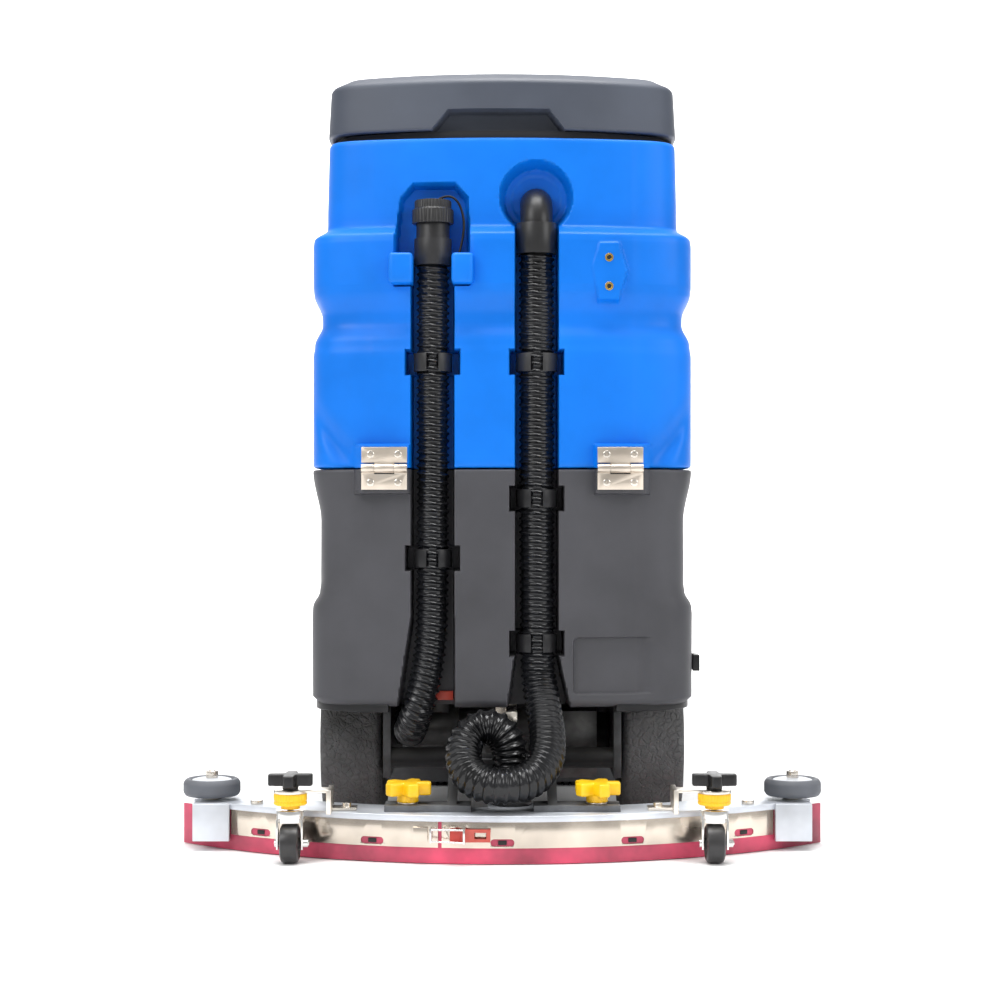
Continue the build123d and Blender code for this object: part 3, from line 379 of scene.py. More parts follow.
def moulded_grain():
    """Height of a fine surface grain, and a slow drift of tone over a panel, both from noise on object
    coordinates."""
    if "Moulded grain" in bpy.data.node_groups:
        return bpy.data.node_groups["Moulded grain"]
    tree, given, result = group_tree(
        "Moulded grain", [("Scale", 900), ("Crinkle", 0.0), ("Drift scale", 9)], ["Height", "Tone"]
    )
    place = node_of(tree, "ShaderNodeTexCoord").outputs["Object"]
    fine = node_of(tree, "ShaderNodeTexNoise", Detail=3.0, Roughness=0.6)
    cells = node_of(tree, "ShaderNodeTexVoronoi", feature="DISTANCE_TO_EDGE")
    bend = node_of(tree, "ShaderNodeTexNoise", Detail=2.0, Distortion=1.2)
    drift = node_of(tree, "ShaderNodeTexNoise", Detail=4.0, Roughness=0.55)
    for texture in (fine, bend, drift):
        tree.links.new(place, texture.inputs["Vector"])
    shifted = node_of(tree, "ShaderNodeVectorMath", operation="MULTIPLY_ADD")
    tree.links.new(bend.outputs["Color"], shifted.inputs[0])
    shifted.inputs[1].default_value = (0.004, 0.004, 0.004)
    tree.links.new(place, shifted.inputs[2])
    tree.links.new(shifted.outputs[0], cells.inputs["Vector"])
    tree.links.new(given.outputs["Scale"], fine.inputs["Scale"])
    tree.links.new(given.outputs["Scale"], bend.inputs["Scale"])
    tree.links.new(math_node(tree, "MULTIPLY", given.outputs["Scale"], 0.5), cells.inputs["Scale"])
    tree.links.new(given.outputs["Drift scale"], drift.inputs["Scale"])
    creases = math_node(tree, "MULTIPLY", math_node(tree, "MINIMUM", cells.outputs["Distance"], 0.18), 3.0)
    height = math_node(tree, "ADD", fine.outputs["Fac"],
                       math_node(tree, "MULTIPLY", creases, given.outputs["Crinkle"]))
    tree.links.new(height, result.inputs["Height"])
    tree.links.new(math_node(tree, "SUBTRACT", drift.outputs["Fac"], 0.5), result.inputs["Tone"])
    return tree


def rubbed_edges():
    """A mask of the convex edges that hands and walls rub, broken up by noise."""
    if "Rubbed edges" in bpy.data.node_groups:
        return bpy.data.node_groups["Rubbed edges"]
    tree, given, result = group_tree("Rubbed edges", [("Amount", 0.5), ("Threshold", 0.53)], ["Mask"])
    place = node_of(tree, "ShaderNodeTexCoord").outputs["Object"]
    noise = node_of(tree, "ShaderNodeTexNoise", Scale=70.0, Detail=5.0)
    tree.links.new(place, noise.inputs["Vector"])
    sharp = node_of(tree, "ShaderNodeNewGeometry").outputs["Pointiness"]
    over = math_node(tree, "MULTIPLY", math_node(tree, "SUBTRACT", sharp, given.outputs["Threshold"]), 12.0,
                     True)
    broken = math_node(tree, "MULTIPLY", over, noise.outputs["Fac"])
    tree.links.new(math_node(tree, "MULTIPLY", broken, given.outputs["Amount"], True), result.inputs["Mask"])
    return tree


def settled_dust():
    """A mask of the dust that lies on upward faces and of the grime near the floor, patchy with noise."""
    if "Settled dust" in bpy.data.node_groups:
        return bpy.data.node_groups["Settled dust"]
    tree, given, result = group_tree("Settled dust", [("Amount", 0.3)], ["Mask"])
    place = node_of(tree, "ShaderNodeTexCoord").outputs["Object"]
    noise = node_of(tree, "ShaderNodeTexNoise", Scale=14.0, Detail=6.0, Roughness=0.65)
    tree.links.new(place, noise.inputs["Vector"])
    facing = node_of(tree, "ShaderNodeSeparateXYZ")
    tree.links.new(node_of(tree, "ShaderNodeNewGeometry").outputs["Normal"], facing.inputs[0])
    height = node_of(tree, "ShaderNodeSeparateXYZ")
    tree.links.new(place, height.inputs[0])
    low = math_node(tree, "MULTIPLY", math_node(tree, "SUBTRACT", 0.22, height.outputs["Z"]), 2.2, True)
    lying = math_node(tree, "ADD", math_node(tree, "MULTIPLY", facing.outputs["Z"], 0.7, True), low)
    patchy = math_node(tree, "MULTIPLY", lying, noise.outputs["Fac"])
    tree.links.new(math_node(tree, "MULTIPLY", patchy, given.outputs["Amount"], True), result.inputs["Mask"])
    return tree


def drawn_lines():
    """Height and tone of the fine lines that grinding or drawing leaves in metal: noise squeezed along one
    axis."""
    if "Drawn lines" in bpy.data.node_groups:
        return bpy.data.node_groups["Drawn lines"]
    tree, given, result = group_tree("Drawn lines", [("Along X", 8), ("Along Z", 900)], ["Height", "Tone"])
    place = node_of(tree, "ShaderNodeTexCoord").outputs["Object"]
    split = node_of(tree, "ShaderNodeSeparateXYZ")
    squeezed = node_of(tree, "ShaderNodeCombineXYZ")
    tree.links.new(place, split.inputs[0])
    tree.links.new(math_node(tree, "MULTIPLY", split.outputs["X"], given.outputs["Along X"]),
                   squeezed.inputs["X"])
    tree.links.new(math_node(tree, "MULTIPLY", split.outputs["Y"], given.outputs["Along X"]),
                   squeezed.inputs["Y"])
    tree.links.new(math_node(tree, "MULTIPLY", split.outputs["Z"], given.outputs["Along Z"]),
                   squeezed.inputs["Z"])
    noise = node_of(tree, "ShaderNodeTexNoise", Scale=1.0, Detail=3.0)
    tree.links.new(squeezed.outputs[0], noise.inputs["Vector"])
    tree.links.new(noise.outputs["Fac"], result.inputs["Height"])
    tree.links.new(math_node(tree, "SUBTRACT", noise.outputs["Fac"], 0.5), result.inputs["Tone"])
    return tree


def finish_table():
    """Every finish of the machine: colour, roughness, metal, grain scale per metre, grain height in metres,
    crinkle, tone drift, worn colour and amount, dust, clear coat and drawn lines."""
    shell, hose = bpy.context.scene.scrubber_shells, bpy.context.scene.scrubber_hoses
    squeegee, seat = bpy.context.scene.scrubber_squeegee, bpy.context.scene.scrubber_seat
    pale, bright = (0.55, 0.57, 0.60), (0.75, 0.75, 0.74)
    tank, body, lid = shell.tank_colour, shell.body_colour, shell.lid_colour
    return {
        "tank_blue": dict(colour=tank, roughness=0.42, grain=1400, bump=0.00005, tone=0.06, dust=0.05,
                          worn=(0.05, 0.30, 0.80), wear=0.2, specular=0.25),
        "body_grey": dict(colour=body, roughness=0.5, grain=1300, bump=0.00007, tone=0.10, dust=0.10,
                          worn=(0.12, 0.12, 0.13), wear=0.35, specular=0.35),
        "lid_grey": dict(colour=lid, roughness=0.48, grain=1300, bump=0.00006, tone=0.08, dust=0.10,
                         worn=(0.18, 0.20, 0.23), wear=0.35, specular=0.35),
        "hose_black": dict(colour=hose.hose_colour, roughness=0.2, grain=500, bump=0.00004, tone=0.3,
                           dust=0.05, specular=0.4),
        "moulded_black": dict(colour=(0.006, 0.006, 0.007), roughness=0.36, grain=1100, bump=0.00005,
                              tone=0.3, dust=0.05, specular=0.3, worn=(0.07, 0.07, 0.075), wear=0.5),
        "cuff_black": dict(colour=(0.014, 0.014, 0.015), roughness=0.4, grain=800, bump=0.00005, tone=0.3,
                           dust=0.06, specular=0.4,
                           worn=(0.08, 0.08, 0.08), wear=0.4),
        "tyre_rubber": dict(colour=(0.115, 0.116, 0.118), roughness=0.82, grain=210, bump=0.0026,
                            specular=0.25, crinkle=1.0, tone=0.3, dust=0.35),
        "roller_rubber": dict(colour=(0.085, 0.093, 0.110), roughness=0.55, grain=700, bump=0.00012,
                              tone=0.25, dust=0.2, worn=(0.2, 0.21, 0.22), wear=0.4),
        "caster_rubber": dict(colour=(0.008, 0.008, 0.010), roughness=0.28, grain=600, bump=0.00006, tone=0.3,
                              dust=0.2),
        "blade_rubber": dict(colour=squeegee.blade_colour, roughness=0.55, grain=260, bump=0.00012, tone=0.45,
                             dust=0.16, worn=(0.72, 0.25, 0.33), wear=0.4),
        # Near-black rubber of the lid gasket; the same finish paints the shade inside the threaded inserts'
        # bores.
        "gasket_rubber_and_bore_shade": dict(colour=(0.006, 0.006, 0.007), roughness=0.7, grain=700, bump=0.0001, tone=0.2,
                              dust=0.1),
        "cast_aluminium": dict(colour=squeegee.casting_colour, roughness=0.38, metallic=0.55, grain=900,
                               bump=0.00008, tone=0.16, dust=0.12, worn=bright, wear=0.5),
        "powder_silver": dict(colour=(0.62, 0.64, 0.67), roughness=0.42, metallic=0.35, grain=1500,
                              bump=0.0001, tone=0.1, dust=0.1, worn=bright, wear=0.4),
        "stainless": dict(colour=(0.62, 0.55, 0.47), roughness=0.2, metallic=1.0, grain=300, bump=0.00001,
                          tone=0.2, dust=0.03, lines=0.00002),
        "hinge_steel": dict(colour=(0.66, 0.58, 0.49), roughness=0.34, metallic=0.85, grain=700, bump=0.00003,
                            tone=0.2, dust=0.05, lines=0.00002, worn=bright, wear=0.4),
        "screw_steel": dict(colour=(0.70, 0.65, 0.58), roughness=0.25, metallic=0.95, grain=700, bump=0.00002,
                            tone=0.2, dust=0.05),
        "bright_chrome": dict(colour=(0.72, 0.71, 0.69), roughness=0.12, metallic=1.0, grain=250,
                              bump=0.00002, tone=0.15, dust=0.08),
        "gearbox_silver": dict(colour=(0.44, 0.42, 0.38), roughness=0.45, metallic=0.6, grain=500,
                               bump=0.0002, tone=0.3, dust=0.3, worn=bright, wear=0.5),
        "drive_dark": dict(colour=(0.035, 0.035, 0.036), roughness=0.35, metallic=0.4, grain=500, bump=0.0002,
                           tone=0.4, dust=0.2, worn=bright, wear=0.4),
        "frame_black": dict(colour=(0.007, 0.008, 0.010), roughness=0.42, specular=0.3, grain=700,
                            bump=0.00015, tone=0.3, dust=0.25, worn=pale, wear=0.35),
        "yoke_black": dict(colour=(0.045, 0.048, 0.053), roughness=0.6, metallic=0.2, grain=600, bump=0.0003,
                           tone=0.3, dust=0.2, worn=pale, wear=0.4),
        "chain_gold": dict(colour=(0.42, 0.27, 0.09), roughness=0.35, metallic=0.9, grain=900, bump=0.0001,
                           tone=0.5, dust=0.3),
        "brass": dict(colour=(0.78, 0.50, 0.14), roughness=0.25, metallic=1.0, grain=700, bump=0.00003,
                      tone=0.2, dust=0.03),
        "knob_black": dict(colour=(0.007, 0.007, 0.008), roughness=0.34, specular=0.35, grain=900,
                           bump=0.0001, tone=0.3, dust=0.12, worn=(0.09, 0.09, 0.09), wear=0.5),
        "knob_yellow": dict(colour=squeegee.knob_colour, roughness=0.33, grain=900, bump=0.00006, tone=0.12,
                            dust=0.05, worn=(1.0, 0.62, 0.10), wear=0.4),
        "latch_red": dict(colour=(0.50, 0.035, 0.022), roughness=0.35, grain=700, bump=0.00005, tone=0.2,
                          dust=0.1, worn=(0.7, 0.2, 0.15), wear=0.5),
        "valve_red": dict(colour=(0.62, 0.045, 0.018), roughness=0.4, grain=700, bump=0.00005, tone=0.2,
                          dust=0.1, worn=(0.75, 0.25, 0.18), wear=0.4),
        "seat_vinyl": dict(colour=seat.vinyl_colour, roughness=0.46, grain=420, bump=0.00035, crinkle=0.8,
                           tone=0.3, dust=0.08, coat=0.1),
        "grip_rubber": dict(colour=(0.012, 0.012, 0.013), roughness=0.6, grain=700, bump=0.0002, crinkle=0.4,
                            tone=0.3, dust=0.08),
        "deck_grey": dict(colour=(0.045, 0.048, 0.055), roughness=0.5, metallic=0.2, grain=600, bump=0.0002,
                          tone=0.3, dust=0.35, worn=pale, wear=0.4),
        "bristle_dark": dict(colour=(0.012, 0.014, 0.020), roughness=0.55, grain=900, bump=0.0001, tone=0.5,
                             dust=0.3),
        "battery_case": dict(colour=(0.02, 0.022, 0.026), roughness=0.5, grain=700, bump=0.0001, tone=0.3,
                             dust=0.3),
        "stop_red": dict(colour=(0.62, 0.012, 0.010), roughness=0.3, grain=700, bump=0.00003, tone=0.1,
                         dust=0.05, coat=0.3),
    }


def finish(name):
    """The material of a finish: drifting tone, rubbed edges and dust in the colour, the tone and the dust in
    the roughness, and the grain as a bump. It is built the first time that it is asked for."""
    if name in bpy.data.materials:
        return bpy.data.materials[name]
    made = finish_table()[name]
    colour = tuple(made["colour"])[:3]
    material = bpy.data.materials.new(name)
    material.use_nodes = True
    tree = material.node_tree
    shader = tree.nodes["Principled BSDF"]
    shader.inputs["Metallic"].default_value = made.get("metallic", 0.0)
    shader.inputs["Coat Weight"].default_value = made.get("coat", 0.0)
    shader.inputs["Specular IOR Level"].default_value = made.get("specular", 0.5)
    shader.inputs["Coat Roughness"].default_value = 0.08
    grain = node_of(tree, "ShaderNodeGroup", node_tree=moulded_grain())
    grain.inputs["Scale"].default_value = made["grain"]
    grain.inputs["Crinkle"].default_value = made.get("crinkle", 0.0)
    dust = node_of(tree, "ShaderNodeGroup", node_tree=settled_dust())
    dust.inputs["Amount"].default_value = made["dust"]
    spread = made["tone"]
    light, dark = (tuple(min(part * (1 + way * spread * 2), 1) for part in colour) + (1,) for way in (1, -1))
    tone = node_of(tree, "ShaderNodeMapRange", **{"From Min": -0.25, "From Max": 0.25})
    tree.links.new(grain.outputs["Tone"], tone.inputs["Value"])
    shades = [(dark, light, tone.outputs["Result"])]
    if "worn" in made:
        edges = node_of(tree, "ShaderNodeGroup", node_tree=rubbed_edges())
        edges.inputs["Amount"].default_value = made["wear"]
        shades.append((None, made["worn"] + (1,), edges.outputs["Mask"]))
    shades.append((None, (0.32, 0.30, 0.27, 1), dust.outputs["Mask"]))
    below = None
    for base, top, mask in shades:
        mix = node_of(tree, "ShaderNodeMix", data_type="RGBA")
        if base:
            mix.inputs[6].default_value = base
        else:
            tree.links.new(below, mix.inputs[6])
        mix.inputs[7].default_value = top
        tree.links.new(mask, mix.inputs[0])
        below = mix.outputs[2]
    tree.links.new(below, shader.inputs["Base Color"])
    rough = math_node(tree, "ADD", math_node(tree, "MULTIPLY", grain.outputs["Tone"], 0.35),
                      made["roughness"])
    rough = math_node(tree, "ADD", rough, math_node(tree, "MULTIPLY", dust.outputs["Mask"], 0.6), True)
    tree.links.new(rough, shader.inputs["Roughness"])
    height = grain.outputs["Height"]
    bump = node_of(tree, "ShaderNodeBump", Distance=made["bump"])
    if "lines" in made:
        lines = node_of(tree, "ShaderNodeGroup", node_tree=drawn_lines())
        height = math_node(tree, "ADD", height, lines.outputs["Height"])
        bump.inputs["Distance"].default_value = made["lines"]
    tree.links.new(height, bump.inputs["Height"])
    tree.links.new(bump.outputs["Normal"], shader.inputs["Normal"])
    return material


# ---- Stage -----------------------------------------------------------------------------------------
def soft_light(name, place, target, size, power):
    """A square area lamp that points at a target."""
    lamp = bpy.data.lights.new(name, "AREA")
    lamp.energy = power
    lamp.size = size
    item = bpy.data.objects.new(name, lamp)
    item.location = place
    item.rotation_euler = (Vector(target) - Vector(place)).to_track_quat("-Z", "Y").to_euler()
    bpy.context.scene.collection.objects.link(item)


class SCRUBBER_OT_stage(bpy.types.Operator):
    """Adds the pale floor that curves up into a backdrop, the studio light and the camera"""

    bl_idname = "scrubber.stage"
    bl_label = "Stage"

    def execute(self, context):
        settings = context.scene.scrubber_stage
        across_floor = np.linspace(-14, 14, 3)
        bend = np.linspace(0, pi / 2, 16)
        along = np.concatenate([[-12], 8 + 3 * np.sin(bend), [11]])
        rise = np.concatenate([[0], 3 * (1 - np.cos(bend)), [16]])
        points = np.stack(np.broadcast_arrays(across_floor[None], along[:, None], rise[:, None]),
                          -1).reshape(-1, 3)
        row, column = np.meshgrid(np.arange(len(along) - 1), np.arange(2), indexing="ij")
        quads = np.stack([row * 3 + column, row * 3 + column + 1, row * 3 + column + 4, row * 3 + column + 3],
                         -1)
        mesh = bpy.data.meshes.new("floor")
        mesh.from_pydata(points.tolist(), [], quads.reshape(-1, 4).tolist())
        mesh.polygons.foreach_set("use_smooth", np.ones(len(mesh.polygons), bool))
        material = bpy.data.materials.new("floor_white")
        material.use_nodes = True
        shader = material.node_tree.nodes["Principled BSDF"]
        shader.inputs["Base Color"].default_value = tuple(settings.floor_colour) + (1,)
        shader.inputs["Roughness"].default_value = 0.75
        mesh.materials.append(material)
        floor = bpy.data.objects.new("floor", mesh)
        context.scene.collection.objects.link(floor)
        world = bpy.data.worlds.new("studio")
        world.use_nodes = True
        world.node_tree.nodes["Background"].inputs["Color"].default_value = (1, 1, 1, 1)
        world.node_tree.nodes["Background"].inputs["Strength"].default_value = 0.56
        context.scene.world = world
        middle = (0, -0.3, 0.5)
        soft_light("key", (-2.6, -3.0, 3.0), middle, 2.0, 70)
        soft_light("fill", (3.2, -2.6, 2.0), middle, 1.8, 42)
        soft_light("top", (0, -0.4, 3.4), middle, 2.2, 150)
        soft_light("backdrop", (0, 4.6, 4.6), (0, 9, 0.6), 7.0, 1100)
        lens = bpy.data.cameras.new("camera")
        lens.lens = settings.lens
        lens.sensor_width = 36
        camera = bpy.data.objects.new("camera", lens)
        camera.location = (-0.003, -settings.camera_distance, settings.camera_height)
        camera.rotation_euler = (pi / 2, 0, 0)
        context.scene.collection.objects.link(camera)
        context.scene.camera = camera
        context.scene.view_settings.view_transform = "Standard"
        return {"FINISHED"}


# ---- Hoses -----------------------------------------------------------------------------------------
VACUUM_ROUTE = [
    (0.0455, -0.504, 0.784), (0.0455, -0.504, 0.250), (0.050, -0.512, 0.208), (0.058, -0.540, 0.166),
    (0.060, -0.578, 0.130), (0.044, -0.612, 0.104), (0.012, -0.632, 0.096), (-0.022, -0.628, 0.096),
    (-0.046, -0.606, 0.108), (-0.052, -0.582, 0.134), (-0.042, -0.564, 0.157), (-0.016, -0.559, 0.166),
    (0.006, -0.558, 0.150), (0.012, -0.556, 0.118), (0.012, -0.556, 0.086),
]
DRAIN_ROUTE = [
    (-0.092, -0.504, 0.769), (-0.092, -0.504, 0.340), (-0.094, -0.505, 0.272), (-0.102, -0.505, 0.214),
    (-0.115, -0.501, 0.172), (-0.124, -0.479, 0.147), (-0.125, -0.450, 0.149), (-0.123, -0.426, 0.176),
    (-0.121, -0.415, 0.215), (-0.120, -0.412, 0.258),
]
TETHER_ROUTE = [
    (-0.084, -0.508, 0.8567), (-0.072, -0.509, 0.863), (-0.057, -0.511, 0.853), (-0.050, -0.512, 0.828),
    (-0.052, -0.513, 0.803), (-0.057, -0.514, 0.7837),
]
VACUUM_SPLITS = (0.418, 0.120)
VACUUM_DIAMETER = 0.048
DRAIN_DIAMETER = 0.044
TETHER_DIAMETER = 0.0032


def route_spline(name, route, bevel=0.0):
    """A smooth NURBS curve with the route's points as its control points."""
    curve = bpy.data.curves.new(name, "CURVE")
    curve.dimensions = "3D"
    curve.resolution_u = 40
    curve.bevel_depth = bevel
    curve.bevel_resolution = 5
    curve.use_fill_caps = bevel > 0
    spline = curve.splines.new("NURBS")
    spline.points.add(len(route) - 1)
    spline.points.foreach_set("co", np.column_stack([route, np.ones(len(route))]).ravel())
    spline.order_u = 3
    spline.use_endpoint_u = True
    item = bpy.data.objects.new(name, curve)
    bpy.context.scene.collection.objects.link(item)
    return item


def followed(route, step):
    """Points read from the route's smooth curve, an even step apart."""
    item = route_spline("route", route)
    bpy.context.view_layer.update()
    drawn = bpy.data.meshes.new_from_object(item.evaluated_get(bpy.context.evaluated_depsgraph_get()))
    points = np.zeros(len(drawn.vertices) * 3, np.float32)
    drawn.vertices.foreach_get("co", points)
    bpy.data.meshes.remove(drawn)
    bpy.data.objects.remove(item)
    points = points.reshape(-1, 3).astype(float)
    travelled = np.concatenate([[0], np.cumsum(np.linalg.norm(np.diff(points, axis=0), axis=1))])
    even = np.linspace(0, travelled[-1], int(travelled[-1] / step) + 1)
    return np.stack([np.interp(even, travelled, points[:, axis]) for axis in range(3)], 1), even


def corrugated(path, travelled, radius, settings, turns=44):
    """A hose's wall: radius minus the rib depth times how far each point is from the crest of a helical rib,
    with the crests narrow and the valleys wide."""
    side, over = carried(path)
    angle = np.arange(turns) * 2 * pi / turns
    phase = travelled[:, None] / settings.rib_pitch * 2 * pi + angle[None]
    crest = ((1 + np.cos(phase)) / 2) ** 1.9
    rings = radius - settings.rib_depth * (1 - crest)
    return path[:, None] + rings[..., None] * (
        np.cos(angle)[None, :, None] * side[:, None] + np.sin(angle)[None, :, None] * over[:, None]
    )


def hose_piece(name, rings, path, span, body):
    """One length of a hose, from one ring to another."""
    first, last = span
    item = piece(name, [ringed(rings[first : last + 1])], "hose_black", body, sharp=60)
    return item, path[first : last + 1]


class SCRUBBER_OT_hoses(bpy.types.Operator):
    """Makes the corrugated vacuum and drain hoses and the drain cap's tether"""

    bl_idname = "scrubber.hoses"
    bl_label = "Hoses"

    def execute(self, context):
        settings = context.scene.scrubber_hoses
        step = settings.rib_pitch / 8
        path, travelled = followed(VACUUM_ROUTE, step)
        rings = corrugated(path, travelled, VACUUM_DIAMETER / 2, settings)
        upper = int(np.argmax(path[:, 2] < VACUUM_SPLITS[0]))
        lower = int(np.argmax((path[:, 2] < VACUUM_SPLITS[1]) & (path[:, 1] < -0.57)))
        lengths = (
            ("vacuum_hose_upper", (0, upper), ("recovery_tank", "chassis"), (0.615, 0.485), None),
            ("vacuum_hose_middle", (upper, lower), ("chassis", "squeegee_arm"), None,
             ((0.0455, -0.504, 0.300), tuple(path[lower]))),
            ("vacuum_hose_lower", (lower, len(path) - 1), ("squeegee_arm", "squeegee"), None,
             (tuple(path[lower]), (0.012, -0.556, float(path[lower][2])))),
        )
        for name, span, bodies, heights, ends in lengths:
            hose, line = hose_piece(name, rings, path, span, None)
            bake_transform(hose)
            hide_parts("vacuum_hose")
        path, travelled = followed(DRAIN_ROUTE, step)
        rings = corrugated(path, travelled, DRAIN_DIAMETER / 2, settings)
        hose, line = hose_piece("drain_hose_finished", rings, path, (0, len(path) - 1), None)
        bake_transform(hose)
        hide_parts("drain_hose")
        tether = route_spline("cap_tether_finished", TETHER_ROUTE, TETHER_DIAMETER / 2)
        tether.data.materials.append(finish("moulded_black"))
        line, _ = followed(TETHER_ROUTE, 0.001)
        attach(tether, "recovery_tank")
        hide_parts("cap_tether")
        return {"FINISHED"}


# ---- Moulded shells --------------------------------------------------------------------------------
FLAT_HALF = 0.178
CHANNEL_FLOOR = -0.474
POCKET_FLOOR = -0.470
CHANNEL_HALF = 0.028
POCKET_HALF = 0.0355
POCKET_RISE = 0.016
DRAIN_X = -0.092
VACUUM_X = 0.0455
HINGE_X = 0.155
PAD_HALF = 0.033
EDGES_ACROSS = [at + way for at in (DRAIN_X, VACUUM_X)
                for way in (-POCKET_HALF, -CHANNEL_HALF, CHANNEL_HALF, POCKET_HALF)]
EDGES_ACROSS += [side * HINGE_X + way for side in SIDES for way in (-PAD_HALF, PAD_HALF)]
DRAIN_RECESS = [
    (-0.118, 0.877), (-0.063, 0.877), (-0.047, 0.859), (-0.044, 0.804), (-0.044, 0.742), (-0.141, 0.742),
    (-0.141, 0.804), (-0.134, 0.859),
]
ACCESSORY_PLATE = [
    (0.128, 0.798), (0.154, 0.798), (0.166, 0.761), (0.154, 0.720), (0.127, 0.720), (0.119, 0.768),
]


def inside(x, z, outline):
    """Signed distance of points from a closed outline, positive inside: the nearest edge's distance, with the
    sign from how many edges a level line crosses."""
    nearest = np.full(np.broadcast(x, z).shape, 1e9)
    odd = np.zeros(nearest.shape, bool)
    for (x0, z0), (x1, z1) in zip(outline, outline[1:] + outline[:1]):
        share = ((x - x0) * (x1 - x0) + (z - z0) * (z1 - z0)) / ((x1 - x0) ** 2 + (z1 - z0) ** 2)
        share = np.clip(share, 0, 1)
        nearest = np.minimum(nearest, np.hypot(x - x0 - share * (x1 - x0), z - z0 - share * (z1 - z0)))
        rise = z1 - z0 if z1 != z0 else 1e-12
        odd ^= ((z0 > z) != (z1 > z)) & (x < x0 + (z - z0) / rise * (x1 - x0))
    return np.where(odd, nearest, -nearest)


def inside_box(x, z, left, right, low, high):
    """Signed distance from an upright rectangle, positive inside."""
    return np.minimum(np.minimum(x - left, right - x), np.minimum(z - low, high - z))


def sunk(y, distance, level, edge):
    """Rear face moved to a level where distance is positive, over an edge this wide."""
    return y + (level - y) * smoothstep(distance / edge + 0.5)


def lines(low, high, step, dense=(), edges=(), edge=0.0022):
    """Grid lines between two values: evenly spaced, closer inside the dense spans, and four round each
    edge."""
    values = [np.arange(low, high, step), [high]]
    values += [np.arange(start, end, fine) for start, end, fine in dense]
    values += [np.array([-0.75, -0.28, 0.28, 0.75]) * edge + at for at in edges]
    values = np.unique(np.round(np.concatenate(values), 5))
    values = values[(values >= low) & (values <= high)]
    keep = np.concatenate([[True], np.diff(values) > 0.00035])
    return values[keep]


def shell_rings(rear_x, rows, bow, corner_reach, side_lines, front_lines=9, corner_lines=18):
    """Level rings of a moulded shell, from the rear's left round by the right.

    The rear is y = rear + bow (x / flat half)^2 between the parting lines, each rear corner is a cubic curve
    that leaves that parabola along its slope and meets the side at corner_reach, and the front corners are
    quadratic curves."""
    half, rear, front, z, reach = (np.array([row[index] for row in rows])[:, None] for index in range(5))
    flat = np.minimum(FLAT_HALF, half - 0.006)
    x_rear = rear_x[None] / FLAT_HALF * flat
    y_rear = rear + bow * reach * (x_rear / flat) ** 2
    t = np.linspace(0, 1, corner_lines + 2)[None, 1:]
    edge_y = rear + bow * reach
    side_y = rear + corner_reach * reach + bow * 0.3
    handle = 0.55 * np.hypot(half - flat, side_y - edge_y)
    slope = 2 * bow * reach / flat
    ahead = unit(np.stack([np.ones_like(slope), slope], -1))
    corner = []
    for axis, start, end in ((0, flat, half), (1, edge_y, side_y)):
        first = start + handle * ahead[..., axis]
        second = end - handle * (0 if axis == 0 else 1)
        corner.append((1 - t) ** 3 * start + 3 * (1 - t) ** 2 * t * first + 3 * (1 - t) * t**2 * second
                      + t**3 * end)
    share = np.asarray(side_lines, float)[None]
    y_side = side_y + (front - 0.012 * reach - side_y) * share
    x_side = np.broadcast_to(half, y_side.shape)
    u = np.linspace(0, 1, 5)[None, 1:]
    x_turn = half - 0.012 * reach * u**2
    y_turn = front - 0.012 * reach * (1 - u) ** 2
    width = np.linspace(1, 0, front_lines)[None, 1:-1]
    x_front = (half - 0.012 * reach) * (2 * width - 1)
    y_front = np.broadcast_to(front, x_front.shape)
    right_x = np.concatenate([corner[0], x_side, x_turn], 1)
    right_y = np.concatenate([corner[1], y_side, y_turn], 1)
    x = np.concatenate([x_rear, right_x, x_front, -right_x[:, ::-1]], 1)
    y = np.concatenate([y_rear, right_y, y_front, right_y[:, ::-1]], 1)
    return x, y, np.broadcast_to(z, x.shape).copy()


def eased(levels, z):
    """Values at heights between levels, joined by smooth steps instead of straight slopes."""
    heights = np.array([level[0] for level in levels])
    values = np.array([level[1:] for level in levels], float)
    index = np.clip(np.searchsorted(heights, z, side="right") - 1, 0, len(levels) - 2)
    share = (z - heights[index]) / (heights[index + 1] - heights[index])
    share = 0.1 * share + 0.9 * smoothstep(share)
    return values[index] + (values[index + 1] - values[index]) * share[:, None]


def parting_lines(x, y, depth):
    """The fine upright lines that the mould halves leave where the flat rear meets the corners."""
    for at in (-FLAT_HALF, FLAT_HALF):
        y = y + depth * np.exp(-(((x - at) / 0.0011) ** 2))
    return y


